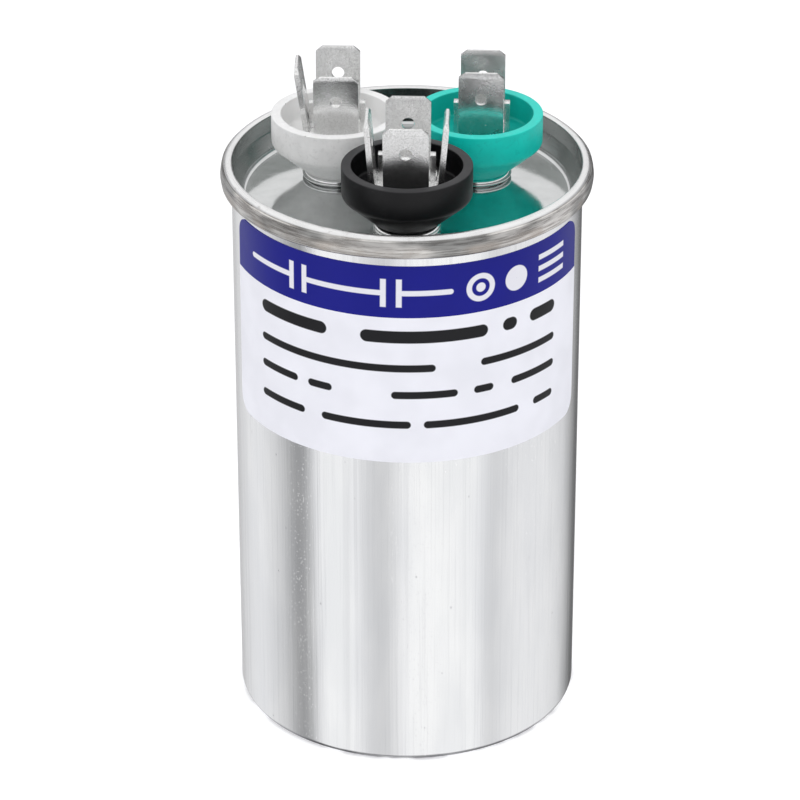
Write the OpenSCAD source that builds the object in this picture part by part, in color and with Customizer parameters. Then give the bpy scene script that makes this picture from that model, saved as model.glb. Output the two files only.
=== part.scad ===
// Motor run capacitor: two film sections in one round aluminium can, with a common
// terminal and two section terminals that carry 6.3 mm push-on tabs.
// Origin: centre of the can's base. +Z is up, -Y is the label side.

/* [Can] */
// Outside diameter of the can wall
can_d = 50; // [45:0.5:60]
// Height of the can, from its base to the top of the seam
can_h = 85.5; // [76:0.5:130]
// Thickness of the can wall
can_wall = 0.4; // [0.35:0.05:0.5]
// Thickness of the can base
can_base = 0.7; // [0.5:0.1:1.2]
// Outside radius of the bend between wall and base
base_bend = 0.9; // [0.7:0.1:2]

/* [Seam and cover] */
// Sheet thickness of the cover
cover_t = 0.3; // [0.25:0.05:0.35]
// Height of the double seam
seam_h = 3.1; // [2.9:0.1:3.8]
// How far the can wall flares outwards under the seam
neck_flare = 0.55; // [0.45:0.05:0.7]
// Radius of the bends along the top of the seam
seam_bend = 0.5; // [0.4:0.05:0.6]
// Overlap length of the two hooks
hook_overlap = 1.1; // [0.8:0.1:1.3]
// Depth of the cover panel below the lower edge of the seam
panel_drop = 2.2; // [2.1:0.1:4]
// Height of the taper at the foot of the seam
taper_h = 1.6; // [1.5:0.05:1.65]
// Gap between the can wall and the cover wall below the taper
wall_inset = 0.7; // [0.6:0.05:1]
// Radius of the bend between cover wall and panel
panel_bend = 0.8; // [0.6:0.05:0.9]

/* [Terminals] */
// Diameter of the circle that the three terminals stand on
terminal_circle = 23.6; // [23:0.1:24.6]
// Diameter of the terminal stud
stud_d = 3.2; // [2.8:0.1:3.6]
// Diameter of the drawn collar round each terminal, measured in its bore
collar_d = 7.4; // [7:0.1:7.8]
// Radius of the rolled bead on top of each collar
bead_r = 0.55; // [0.5:0.05:0.65]
// How far the stud's head reaches past its shank
stud_head_rim = 1.4; // [1.2:0.1:1.8]
// Thickness of the stud's head under the washer
stud_head_t = 0.8; // [0.6:0.1:1.2]
// How far the riveted end of the stud reaches past its shank
rivet_rim = 0.9; // [0.7:0.1:1.1]
// Height of the riveted end of the stud
rivet_h = 0.8; // [0.6:0.1:1.2]
// Diameter of the solder pin at the lower end of the stud
pin_d = 2; // [1.6:0.1:2.4]
// How far the solder pin stands out under the interrupter disc
pin_out = 1; // [0.8:0.1:1.6]
// Radial thickness of the rubber ring between plug and collar
gasket_t = 0.5; // [0.4:0.05:0.8]
// Thickness of the insulating washer under the cover
washer_t = 1.5; // [1.2:0.1:2.5]
// Thickness of the washer's floor under the plug
washer_floor = 0.5; // [0.4:0.05:0.8]
// How far the washer reaches past the collar's bore
washer_rim = 1.5; // [1.2:0.1:1.8]
// Clearance between parts that slide over each other
slip = 0.05; // [0.03:0.01:0.1]

/* [Insulating cups] */
// Outside diameter of a cup
cup_d = 18.4; // [17:0.2:18.8]
// Wall thickness of a cup
cup_wall = 1.4; // [1.2:0.1:1.7]
// Height of the straight part of the cup wall
cup_wall_h = 4.4; // [3.5:0.1:6]
// Depth of the cup, from its rim to its floor
cup_depth = 3.7; // [3:0.1:5]
// Height of the cone between the neck and the straight wall
cup_cone_h = 4.3; // [3.8:0.1:6]
// Diameter of the neck where the cup stands on its collar
cup_neck_d = 8.8; // [8.4:0.1:9.4]
// Radius of the small round along the rim
cup_edge = 0.2; // [0.1:0.05:0.4]

/* [Tabs] */
// Width of a push-on tab
tab_w = 6.35; // [6.3:0.01:6.4]
// Thickness of the tab sheet
tab_t = 0.8; // [0.7:0.05:0.85]
// Height of the front and back tabs above the cup floor
tab_h = 11.5; // [10.5:0.1:14]
// Height of the side tabs above the cup floor
side_tab_h = 12.2; // [11.5:0.1:15]
// Distance between the feet of the front and back tabs
tab_pair_gap = 7.8; // [7.6:0.1:8.4]
// Distance between the feet of the two side tabs
side_pair_gap = 10; // [9.8:0.1:10.6]
// Diameter of the latch hole in a tab
latch_hole_d = 1.8; // [1.6:0.05:2]
// Distance from the tip of a tab to its latch hole
latch_from_tip = 3.9; // [3.2:0.1:4.2]
// Size of the corner cut at the tip of a tab
tip_corner = 0.9; // [0.6:0.1:1.4]
// Height of the lead-in bevel at the tip of a tab
tip_bevel_h = 0.8; // [0.5:0.1:1.2]
// Outward lean of the common and compressor tabs, in degrees
splay_wide = 9.5; // [6:0.5:11]
// Outward lean of the fan tabs, in degrees
splay_narrow = 1; // [0:0.5:3]
// Outward lean of the side tabs, in degrees
splay_side = 3.5; // [2:0.5:6]
// Radius of the bends at the feet, on the sheet's centre line
tab_bend = 0.8; // [0.7:0.05:1]
// Width of the locating ears beside the tabs
ear_w = 1.4; // [1.2:0.1:1.8]
// Height of the locating ears above the cup floor
ear_h = 5.4; // [4.6:0.1:6]
// Distance between the two ears of a bracket
ear_gap = 7.2; // [7.1:0.1:7.4]
// Radius of the bend at the foot of an ear, on the sheet's centre line
ear_bend = 0.5; // [0.45:0.05:0.6]
// Width of a side tab's foot
side_foot_w = 5.55; // [5.2:0.05:6]
// How far the ring of the side bracket reaches past the stud
side_ring = 1.2; // [1:0.1:1.6]

/* [Label] */
// Width of the label along the can wall
label_w = 61.5; // [50:0.5:66]
// Height of the label
label_h = 30.4; // [26:0.2:36]
// Gap between the top of the label and the seam
label_gap = 2; // [1.6:0.1:6]
// Thickness of the label film
label_t = 0.1; // [0.06:0.01:0.12]
// Radius of the label's corners
label_corner = 2.6; // [1:0.1:4]
// Height of the coloured band along the top of the label
band_h = 7.6; // [5:0.1:10]

/* [Capacitor sections] */
// Capacitance of the fan section, in microfarads
fan_uf = 10; // [8:1:12]
// Capacitance of the compressor section, in microfarads
compressor_uf = 20; // [16:1:30]
// Outside diameter of the winding core
core_d = 10; // [8:0.5:12]
// Wall thickness of the winding core
core_wall = 1.2; // [0.8:0.1:1.5]
// Thickness of the sprayed metal contact on each winding end
spray_t = 0.6; // [0.4:0.1:1]
// Thickness of the card between the two windings
spacer_t = 1; // [0.6:0.1:1.6]
// Room left above the windings for the cover to bulge
head_room = 3; // [2.5:0.1:6]
// Thickness of the insulating sleeve round the windings
sleeve_t = 0.5; // [0.3:0.05:0.5]
// Gap between the windings and the sleeve, where a lead runs down
sleeve_gap = 0.6; // [0.5:0.05:0.6]
// Thickness of the insulating pan under the windings
pan_t = 1; // [0.9:0.1:1.5]
// Height of the pan's rim
pan_h = 6; // [4:0.5:10]
// Thickness of the interrupter disc under the terminals
disc_t = 1.6; // [1.2:0.1:2.2]
// Gap between the interrupter disc and the can wall
disc_gap = 3.6; // [2:0.1:5]
// Diameter of the oil holes in the interrupter disc
oil_hole_d = 6; // [4:0.5:8]
// Gap between the pan and the can wall
pan_gap = 0.2; // [0.1:0.05:0.3]
// Thickness of the pan's rim
pan_rim_t = 0.65; // [0.5:0.05:1]
// Size of the corner cut along the pan's foot
pan_corner = 1; // [0.8:0.1:1.4]
// How far the pan's recess reaches past the core
recess_rim = 4; // [3:0.5:6]
// Width of the lead ribbons
ribbon_w = 3; // [2:0.1:3.4]
// Thickness of the lead ribbons
ribbon_t = 0.3; // [0.2:0.05:0.4]
// Radius of the bends in the leads, on the ribbon's centre line
ribbon_bend = 0.6; // [0.4:0.1:1]
// How far the fan lead reaches past its pin
fan_lead_reach = 3; // [2.5:0.1:4]

/* [Hidden] */
$fn = 96;
can_r = can_d / 2;

// Radii through the five layers of the double seam, from the inside out.
chuck_r = can_r - can_wall + neck_flare - cover_t;
body_in_r = chuck_r + cover_t;
body_out_r = body_in_r + can_wall;
cover_hook_r = body_out_r + cover_t;
body_hook_r = cover_hook_r + can_wall;
seam_r = body_hook_r + cover_t;
seam_low = can_h - seam_h;
curl_in = can_wall / 2;
hook_curl_in = cover_t / 2;
hook_curl_out = hook_curl_in + can_wall;
hook_z = can_h - cover_t - slip - hook_curl_out;
curl_z = seam_low + curl_in + cover_t;
hook_mid = (hook_z + curl_z) / 2;
flare_low = seam_low - neck_flare;
label_top = seam_low - label_gap;
label_low = label_top - label_h;
band_low = label_top - band_h;

// Levels through one terminal, from the panel up to the tips and down to the disc.
panel_z = seam_low - panel_drop;
panel_low = panel_z - cover_t;
bead_z = panel_z + bead_r;
neck_z = bead_z + bead_r;
cup_wall_z = neck_z + cup_cone_h;
cup_top = cup_wall_z + cup_wall_h;
floor_z = cup_top - cup_depth;
washer_z = panel_low - washer_t;
plug_low = washer_z + washer_floor;
stud_head_z = washer_z - stud_head_t;
disc_z = stud_head_z - disc_t;
pin_end_z = disc_z - pin_out;
lead_z = pin_end_z + ribbon_t / 2;
collar_r = collar_d / 2;
plug_r = collar_r - gasket_t;
washer_r = collar_r + washer_rim;
stud_r = stud_d / 2;
stud_head_r = stud_r + stud_head_rim;
rivet_r = stud_r + rivet_rim;
pin_r = pin_d / 2;

// Terminal places: the common in front, the two sections behind it.
ring_r = terminal_circle / 2;
COMMON_ANGLE = -90;
COMPRESSOR_ANGLE = 150;
FAN_ANGLE = 30;
COMMON_AT = ring_r * [cos(COMMON_ANGLE), sin(COMMON_ANGLE)];
COMPRESSOR_AT = ring_r * [cos(COMPRESSOR_ANGLE), sin(COMPRESSOR_ANGLE)];
FAN_AT = ring_r * [cos(FAN_ANGLE), sin(FAN_ANGLE)];
COMMON_TURN = -2;
COMPRESSOR_TURN = -1;
FAN_TURN = -3;

// Levels and radii of the sealed inside.
pan_z = can_base;
stack_low = pan_z + pan_t;
stack_top = pin_end_z - head_room;
film_h = stack_top - stack_low - 4 * spray_t - spacer_t;
compressor_h = film_h * compressor_uf / (compressor_uf + fan_uf);
fan_h = film_h - compressor_h;
compressor_z = stack_low + spray_t;
spacer_z = compressor_z + compressor_h + spray_t;
fan_z = spacer_z + spacer_t + spray_t;
pan_out_r = can_r - can_wall - pan_gap;
pan_in_r = pan_out_r - pan_rim_t;
sleeve_out_r = pan_in_r - slip;
sleeve_in_r = sleeve_out_r - sleeve_t;
winding_r = sleeve_in_r - sleeve_gap;
core_r = core_d / 2;
disc_r = can_r - can_wall - disc_gap;
recess_r = core_r + recess_rim;
recess_h = ribbon_t + slip;

// Points of an arc round c, from angle a to angle b in n steps.
function arc(c, r, a, b, n = 8) =
    [for (i = [0:n]) c + r * [cos(a + (b - a) * i / n), sin(a + (b - a) * i / n)]];

// Direction of a path at its point i, and the unit vector to the left of it.
function unit(v) = v / norm(v);
function left_of(v) = [-v.y, v.x];
function heading(path, i) =
    i == 0 ? unit(path[1] - path[0]) :
    i == len(path) - 1 ? unit(path[i] - path[i - 1]) :
    unit(unit(path[i] - path[i - 1]) + unit(path[i + 1] - path[i]));

// Corner factor that keeps the sheet's thickness true where two stretches meet.
function miter(path, i) =
    i == 0 || i == len(path) - 1 ? 1 :
    let (a = unit(path[i] - path[i - 1]), b = unit(path[i + 1] - path[i]))
    1 / max(0.5, sqrt((1 + a * b) / 2));

// A path moved sideways by d, and the closed outline of a sheet of thickness t on it.
function shifted(path, d) =
    [for (i = [0:len(path) - 1]) path[i] + d * miter(path, i) * left_of(heading(path, i))];
function reversed(list) = [for (i = [len(list) - 1:-1:0]) list[i]];
function sheet(path, t) = concat(shifted(path, t / 2), reversed(shifted(path, -t / 2)));

// A ring of rectangular section.
module ring(r_out, r_in, h) {
    rotate_extrude()
        translate([r_in, 0])
            square([r_out - r_in, h]);
}

// Its children, once at each terminal's place on the cover.
module at_terminals() {
    for (place = [COMMON_AT, COMPRESSOR_AT, FAN_AT])
        translate([place.x, place.y, 0])
            children();
}

module can() {
    wall_mid = can_r - can_wall / 2;
    seam_mid = body_in_r + can_wall / 2;
    hook_mid_r = hook_curl_in + can_wall / 2;
    wall = concat(
        [[wall_mid, base_bend], [wall_mid, flare_low], [seam_mid, seam_low]],
        arc([body_out_r + hook_curl_in, hook_z], hook_mid_r, 180, 0),
        [[cover_hook_r + can_wall / 2, hook_mid - hook_overlap / 2]]
    );
    base_in = max(base_bend - can_wall, 0.1);
    color("silver")
        rotate_extrude()
            polygon(concat(
                [[0, 0]],
                arc([can_r - base_bend, base_bend], base_bend, -90, 0),
                reversed(shifted(reversed(wall), can_wall / 2)),
                shifted(reversed(wall), -can_wall / 2),
                arc([can_r - can_wall - base_in, can_base + base_in], base_in, 0, -90, 4),
                [[0, can_base]]
            ));
}

// The drawn collar: the panel turns up round the terminal and rolls outwards.
module collar() {
    roll = bead_r - cover_t / 2;
    upright = collar_r + cover_t / 2;
    turn = cover_t;
    path = concat(
        [[upright + turn + 1, panel_low + cover_t / 2]],
        arc([upright + turn, panel_low + cover_t / 2 + turn], turn, 270, 180, 6),
        arc([upright + roll, bead_z], roll, 180, -45, 16)
    );
    rotate_extrude()
        polygon(sheet(path, cover_t));
}

module cover() {
    chuck_mid = chuck_r + cover_t / 2;
    half = cover_t / 2;
    wall_mid = can_r - can_wall - wall_inset - half;
    taper_top = seam_low + cover_t;
    top_mid = seam_bend - half;
    fold = curl_in + half;
    path = concat(
        [[0, panel_z - half]],
        arc([wall_mid - panel_bend, panel_z - half + panel_bend], panel_bend, -90, 0),
        [[wall_mid, taper_top - taper_h], [chuck_mid, taper_top]],
        arc([chuck_mid + top_mid, can_h - seam_bend], top_mid, 180, 90),
        arc([seam_r - seam_bend, can_h - seam_bend], top_mid, 90, 0),
        arc([cover_hook_r + curl_in, curl_z], fold, 0, -180),
        [[body_out_r + half, hook_mid + hook_overlap / 2]]
    );
    color("gainsboro") {
        difference() {
            rotate_extrude()
                polygon(sheet(path, cover_t));
            at_terminals()
                translate([0, 0, panel_low - 1])
                    cylinder(r = collar_r + 1, h = cover_t + 2);
        }
        at_terminals()
            collar();
    }
}

// Sealing compound in the two pockets at the ends of the hooks.
module seam_compound() {
    hook_end = hook_mid + hook_overlap / 2;
    body_end = hook_mid - hook_overlap / 2;
    sliver = slip / 10;
    color("darkslategray")
        rotate_extrude() {
            polygon(concat(
                [[body_out_r, hook_end], [cover_hook_r, hook_end]],
                arc([body_out_r + hook_curl_in, hook_z], hook_curl_in - sliver, 0, 180)
            ));
            polygon(concat(
                [[body_hook_r, body_end], [cover_hook_r, body_end]],
                arc([cover_hook_r + curl_in, curl_z], curl_in - sliver, 180, 360)
            ));
        }
}

// One corner of a film: an arc, or a plain point where its radius is 0.
function corner(c, r, a) =
    r == 0 ? [c] : arc(c - r * sqrt(2) * [cos(a + 45), sin(a + 45)], r, a, a + 90, 6);

// A film wrapped round the front of the can, between two levels, with rounded corners.
module wrapped_film(z0, z1, low_corner, high_corner) {
    half = label_w / 2;
    flat = concat(
        corner([half, z0], low_corner, -90),
        corner([half, z1], high_corner, 0),
        corner([-half, z1], high_corner, 90),
        corner([-half, z0], low_corner, 180)
    );
    intersection() {
        translate([0, 0, z0])
            ring(can_r + label_t, can_r, z1 - z0);
        rotate([90, 0, 0])
            linear_extrude(can_d)
                polygon([for (p = flat) [can_r * sin(p.x / can_r * 180 / PI), p.y]]);
    }
}

module label() {
    color("lavender")
        wrapped_film(label_low, band_low, label_corner, 0);
}

module label_band() {
    color("midnightblue")
        wrapped_film(band_low, label_top, 0, label_corner);
}

// A moulded cup: open above, a cone and a neck below, and a plug that enters the collar.
module cup() {
    r = cup_d / 2;
    inside = r - cup_wall;
    rotate_extrude()
        polygon(concat(
            [[stud_r + slip, plug_low], [plug_r, plug_low], [plug_r, neck_z]],
            [[cup_neck_d / 2, neck_z], [r, cup_wall_z]],
            arc([r - cup_edge, cup_top - cup_edge], cup_edge, 0, 90, 4),
            arc([inside + cup_edge, cup_top - cup_edge], cup_edge, 90, 180, 4),
            [[inside, floor_z], [stud_r + slip, floor_z]]
        ));
}

module common_cup() {
    color("#1c1c1f")
        translate(COMMON_AT)
            cup();
}

module compressor_cup() {
    color("#dfe1e2")
        translate(COMPRESSOR_AT)
            cup();
}

module fan_cup() {
    color("#1fb8a6")
        translate(FAN_AT)
            cup();
}

// The rubber ring that seals the plug in its collar.
module gasket() {
    translate([0, 0, panel_low])
        ring(collar_r, plug_r, neck_z - panel_low);
}

module common_gasket() {
    color("dimgray")
        translate(COMMON_AT)
            gasket();
}

module compressor_gasket() {
    color("dimgray")
        translate(COMPRESSOR_AT)
            gasket();
}

module fan_gasket() {
    color("dimgray")
        translate(FAN_AT)
            gasket();
}

// The insulating washer under the panel, round the plug.
module washer() {
    translate([0, 0, washer_z])
        difference() {
            cylinder(r = washer_r, h = washer_t);
            translate([0, 0, washer_floor])
                cylinder(r = plug_r + slip, h = washer_t);
            translate([0, 0, -1])
                cylinder(r = stud_r + slip, h = washer_t + 2);
        }
}

module common_washer() {
    color("tan")
        translate(COMMON_AT)
            washer();
}

module compressor_washer() {
    color("tan")
        translate(COMPRESSOR_AT)
            washer();
}

module fan_washer() {
    color("tan")
        translate(FAN_AT)
            washer();
}

// A headed stud, put in from below and riveted over on top of plates base_t thick.
module stud(base_t) {
    seat = floor_z + base_t;
    edge = rivet_h / 3;
    dome = [for (a = [0:15:90]) [rivet_r * cos(a), seat + edge + (rivet_h - edge) * sin(a)]];
    rotate_extrude()
        polygon(concat(
            [[0, pin_end_z], [pin_r, pin_end_z], [pin_r, stud_head_z]],
            [[stud_head_r, stud_head_z], [stud_head_r, washer_z], [stud_r, washer_z]],
            [[stud_r, seat], [rivet_r, seat]],
            dome
        ));
}

module common_stud() {
    color("lightgray")
        translate(COMMON_AT)
            stud(2 * tab_t);
}

module compressor_stud() {
    color("lightgray")
        translate(COMPRESSOR_AT)
            stud(2 * tab_t);
}

module fan_stud() {
    color("lightgray")
        translate(FAN_AT)
            stud(tab_t);
}

// Path of a sheet that lies flat from x = 0 at level z, then bends up at foot and leans outwards.
function tab_path(foot, z, tip_z, lean) =
    let (
        up = 90 - lean,
        c = [foot - tab_bend, z + tab_bend],
        start = c + tab_bend * [cos(up - 90), sin(up - 90)],
        run = (tip_z - start.y) / sin(up)
    )
    concat([[0, z]], arc(c, tab_bend, -90, up - 90, 6), [start + run * [cos(up), sin(up)]]);

// Cuts at the tip of a tab: its frame has the tip at the origin and the sheet below it.
module tip_cuts(width) {
    for (side = [-1, 1]) {
        translate([0, side * width / 2, 0])
            rotate([45, 0, 0])
                cube([4 * tab_t, tip_corner * sqrt(2), tip_corner * sqrt(2)], center = true);
        bevel = atan(tab_t / 4 / tip_bevel_h);
        translate([side * tab_t / 4, 0, 0])
            rotate([0, -side * bevel, 0])
                translate([side > 0 ? 0 : -tab_t, -width, -2 * tip_bevel_h])
                    cube([tab_t, 2 * width, 3 * tip_bevel_h]);
    }
    translate([0, 0, -latch_from_tip])
        rotate([0, 90, 0])
            cylinder(d = latch_hole_d, h = 4 * tab_t, center = true);
}

// One push-on tab with its half of the base plate, towards +x, at plate level z over the floor.
module tab(foot, plate, tip_z, lean, base_w) {
    path = tab_path(foot, plate + tab_t / 2, tip_z, lean);
    tip = path[len(path) - 1];
    bend_end = path[len(path) - 2];
    difference() {
        union() {
            translate([0, base_w / 2, 0])
                rotate([90, 0, 0])
                    linear_extrude(base_w)
                        polygon(sheet(path, tab_t));
            if (base_w < tab_w)
                translate([0, tab_w / 2, 0])
                    rotate([90, 0, 0])
                        linear_extrude(tab_w)
                            polygon(sheet([bend_end + 0.05 * (tip - bend_end), tip], tab_t));
        }
        translate([tip.x, 0, tip.y])
            rotate([0, lean, 0])
                tip_cuts(tab_w);
    }
}

// A locating ear: the base plate's edge bent upright.
module ear() {
    foot = ear_gap / 2;
    path = concat(
        [[0, tab_t / 2]],
        arc([foot - ear_bend, tab_t / 2 + ear_bend], ear_bend, -90, 0, 5),
        [[foot, ear_h]]
    );
    translate([0, ear_w / 2, 0])
        rotate([90, 0, 0])
            linear_extrude(ear_w)
                polygon(sheet(path, tab_t));
}

// The two-tab bracket that every terminal has.
module tab_bracket(lean) {
    difference() {
        union() {
            for (side = [-90, 90])
                rotate([0, 0, side])
                    tab(tab_pair_gap / 2, 0, tab_h, lean, tab_w);
            for (side = [0, 180])
                rotate([0, 0, side])
                    ear();
        }
        translate([0, 0, -1])
            cylinder(r = stud_r + slip, h = tab_t + 2);
    }
}

// The bracket on top of it, with a side tab at each angle in sides.
module side_bracket(sides) {
    slot_in = ear_gap / 2 - tab_t / 2 - 2 * slip;
    difference() {
        union() {
            for (side = sides)
                rotate([0, 0, side])
                    tab(side_pair_gap / 2, tab_t, side_tab_h, splay_side, side_foot_w);
            translate([0, 0, tab_t])
                cylinder(r = stud_r + side_ring, h = tab_t);
        }
        for (side = sides)
            rotate([0, 0, side])
                translate([slot_in, -ear_w / 2 - 2 * slip, 0])
                    cube([tab_t + 4 * slip, ear_w + 4 * slip, 3 * tab_t]);
        translate([0, 0, -1])
            cylinder(r = stud_r + slip, h = 2 * tab_t + 2);
    }
}

module common_tabs() {
    color("silver")
        translate([COMMON_AT.x, COMMON_AT.y, floor_z])
            rotate([0, 0, COMMON_TURN])
                tab_bracket(splay_wide);
}

module compressor_tabs() {
    color("silver")
        translate([COMPRESSOR_AT.x, COMPRESSOR_AT.y, floor_z])
            rotate([0, 0, COMPRESSOR_TURN])
                tab_bracket(splay_wide);
}

module fan_tabs() {
    color("silver")
        translate([FAN_AT.x, FAN_AT.y, floor_z])
            rotate([0, 0, FAN_TURN])
                tab_bracket(splay_narrow);
}

module common_side_tabs() {
    color("silver")
        translate([COMMON_AT.x, COMMON_AT.y, floor_z])
            rotate([0, 0, COMMON_TURN])
                side_bracket([0, 180]);
}

module compressor_side_tab() {
    color("silver")
        translate([COMPRESSOR_AT.x, COMPRESSOR_AT.y, floor_z])
            rotate([0, 0, COMPRESSOR_TURN])
                side_bracket([180]);
}

// The breaker disc: the leads are soldered to the stud pins under it, and tear off
// when the cover bulges.
module interrupter_disc() {
    color("wheat")
        difference() {
            translate([0, 0, disc_z])
                cylinder(r = disc_r, h = disc_t);
            at_terminals()
                translate([0, 0, disc_z - 1])
                    cylinder(r = pin_r + slip, h = disc_t + 2);
            for (a = [-30, 90, 210])
                rotate([0, 0, a])
                    translate([ring_r, 0, disc_z - 1])
                        cylinder(d = oil_hole_d, h = disc_t + 2);
        }
}

// A lead ribbon along path, in the upright plane through a point at angle turn, with a hole
// for its pin at distance pin_at along that plane.
module ribbon(place, turn, path, pin_at) {
    translate([place.x, place.y, 0])
        rotate([0, 0, turn])
            difference() {
                translate([0, ribbon_w / 2, 0])
                    rotate([90, 0, 0])
                        linear_extrude(ribbon_w)
                            polygon(sheet(path, ribbon_t));
                translate([pin_at, 0, pin_end_z - 1])
                    cylinder(r = pin_r, h = can_h);
            }
}

// Common lead: out from its pin, then down between windings and sleeve to the spacer.
module common_lead() {
    drop = winding_r + slip + ribbon_t / 2 - ring_r;
    path = concat(
        [[-ribbon_w / 2, lead_z]],
        arc([drop - ribbon_bend, lead_z - ribbon_bend], ribbon_bend, 90, 0, 6),
        [[drop, spacer_z]]
    );
    color("goldenrod")
        ribbon(COMMON_AT, COMMON_ANGLE, path, 0);
}

// Fan lead: a short angle from its pin to the top of the fan section.
module fan_lead() {
    low = stack_top + ribbon_t / 2;
    out = fan_lead_reach - ribbon_bend;
    path = concat(
        [[-ribbon_w / 2, lead_z]],
        arc([out, lead_z - ribbon_bend], ribbon_bend, 90, 0, 6),
        arc([out, low + ribbon_bend], ribbon_bend, 0, -90, 6),
        [[0, low]]
    );
    color("goldenrod")
        ribbon(FAN_AT, FAN_ANGLE, path, 0);
}

// Compressor lead: in to the axis, down through the core and out under the lower winding.
module compressor_lead() {
    low = stack_low - ribbon_t / 2;
    path = concat(
        [[ring_r + ribbon_w / 2, lead_z]],
        arc([ribbon_bend, lead_z - ribbon_bend], ribbon_bend, 90, 180, 6),
        arc([-ribbon_bend, low + ribbon_bend], ribbon_bend, 0, -90, 6),
        [[-(recess_r - ribbon_w / 2), low]]
    );
    color("goldenrod")
        ribbon([0, 0], COMPRESSOR_ANGLE, path, ring_r);
}

// One film winding, wound on the core.
module winding(z, h) {
    translate([0, 0, z])
        ring(winding_r, core_r, h);
}

module compressor_winding() {
    color("lightgoldenrodyellow")
        winding(compressor_z, compressor_h);
}

module fan_winding() {
    color("lightgoldenrodyellow")
        winding(fan_z, fan_h);
}

// Sprayed contacts on the two ends of a winding.
module end_spray(z, h) {
    for (level = [z - spray_t, z + h])
        translate([0, 0, level])
            ring(winding_r, core_r, spray_t);
}

module compressor_end_spray() {
    color("slategray")
        end_spray(compressor_z, compressor_h);
}

module fan_end_spray() {
    color("slategray")
        end_spray(fan_z, fan_h);
}

module winding_spacer() {
    color("burlywood")
        translate([0, 0, spacer_z])
            ring(winding_r, core_r, spacer_t);
}

module winding_core() {
    color("white")
        translate([0, 0, stack_low])
            ring(core_r, core_r - core_wall, stack_top - stack_low);
}

module insulating_sleeve() {
    color("lightyellow")
        translate([0, 0, stack_low])
            ring(sleeve_out_r, sleeve_in_r, stack_top - stack_low);
}

// The pan that keeps the windings off the can's base, with a recess for the lower lead.
module base_pan() {
    color("whitesmoke")
        rotate_extrude()
            polygon([
                [0, pan_z], [pan_out_r - pan_corner, pan_z], [pan_out_r, pan_z + pan_corner],
                [pan_out_r, pan_z + pan_h], [pan_in_r, pan_z + pan_h], [pan_in_r, stack_low],
                [recess_r, stack_low], [recess_r, stack_low - recess_h], [0, stack_low - recess_h]
            ]);
}

can();
cover();
seam_compound();
label();
label_band();
common_cup();
compressor_cup();
fan_cup();
common_gasket();
compressor_gasket();
fan_gasket();
common_washer();
compressor_washer();
fan_washer();
common_stud();
compressor_stud();
fan_stud();
common_tabs();
compressor_tabs();
fan_tabs();
common_side_tabs();
compressor_side_tab();
interrupter_disc();
common_lead();
compressor_lead();
fan_lead();
compressor_winding();
fan_winding();
compressor_end_spray();
fan_end_spray();
winding_spacer();
winding_core();
insulating_sleeve();
base_pan();
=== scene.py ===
"""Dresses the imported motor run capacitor: the drawn can, the double-seamed cover, the moulded
cups, the push-on tabs and the wrapped label, on a plain pale floor."""
import math

import bpy
from bpy.props import FloatProperty, FloatVectorProperty, IntProperty, PointerProperty
from mathutils import Matrix, Vector


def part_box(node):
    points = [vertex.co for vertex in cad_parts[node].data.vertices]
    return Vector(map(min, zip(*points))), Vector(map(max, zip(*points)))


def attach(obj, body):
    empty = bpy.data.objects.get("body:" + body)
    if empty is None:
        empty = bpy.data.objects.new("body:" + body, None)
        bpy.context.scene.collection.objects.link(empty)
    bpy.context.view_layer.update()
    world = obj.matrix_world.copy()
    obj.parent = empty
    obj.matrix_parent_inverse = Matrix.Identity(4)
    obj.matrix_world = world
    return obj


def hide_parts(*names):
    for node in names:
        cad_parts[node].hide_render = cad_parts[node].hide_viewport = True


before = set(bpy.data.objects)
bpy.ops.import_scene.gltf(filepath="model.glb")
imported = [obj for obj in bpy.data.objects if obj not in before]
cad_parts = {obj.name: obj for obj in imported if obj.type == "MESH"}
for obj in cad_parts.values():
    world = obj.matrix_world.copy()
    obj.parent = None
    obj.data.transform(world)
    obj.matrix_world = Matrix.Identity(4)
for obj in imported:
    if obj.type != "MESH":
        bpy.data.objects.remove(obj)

bl_info = {
    "name": "Motor Run Capacitor",
    "version": (1, 0, 0),
    "blender": (4, 5, 0),
    "location": "View3D > Sidebar > Capacitor",
    "description": "Models the finish of a round motor run capacitor over its packed frame",
    "category": "Add Mesh",
}

MM = 0.001
TINY = 0.001 * MM  # a pole's radius, and the reach within which mirrored points are joined
NEAR = 0.1 * TINY  # points closer than this lie in one place
BODY = "root"
TERMINALS = ("common", "compressor", "fan")


# ---------------------------------------------------------------- sizes from the frame


def high(node):
    """Highest level of a CAD node."""
    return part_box(node)[1].z


def low(node):
    """Lowest level of a CAD node."""
    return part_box(node)[0].z


def reach(node):
    """Largest distance of a CAD node from the axis, along X."""
    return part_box(node)[1].x


def centre(node):
    """Middle of a CAD node in plan."""
    lowest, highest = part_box(node)
    return Vector(((lowest.x + highest.x) / 2, (lowest.y + highest.y) / 2, 0))


def width(node):
    """Size of a CAD node along X."""
    lowest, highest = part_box(node)
    return highest.x - lowest.x


CUP_AT = {name: centre(name + "_cup") for name in TERMINALS}


# ---------------------------------------------------------------- settings


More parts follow.
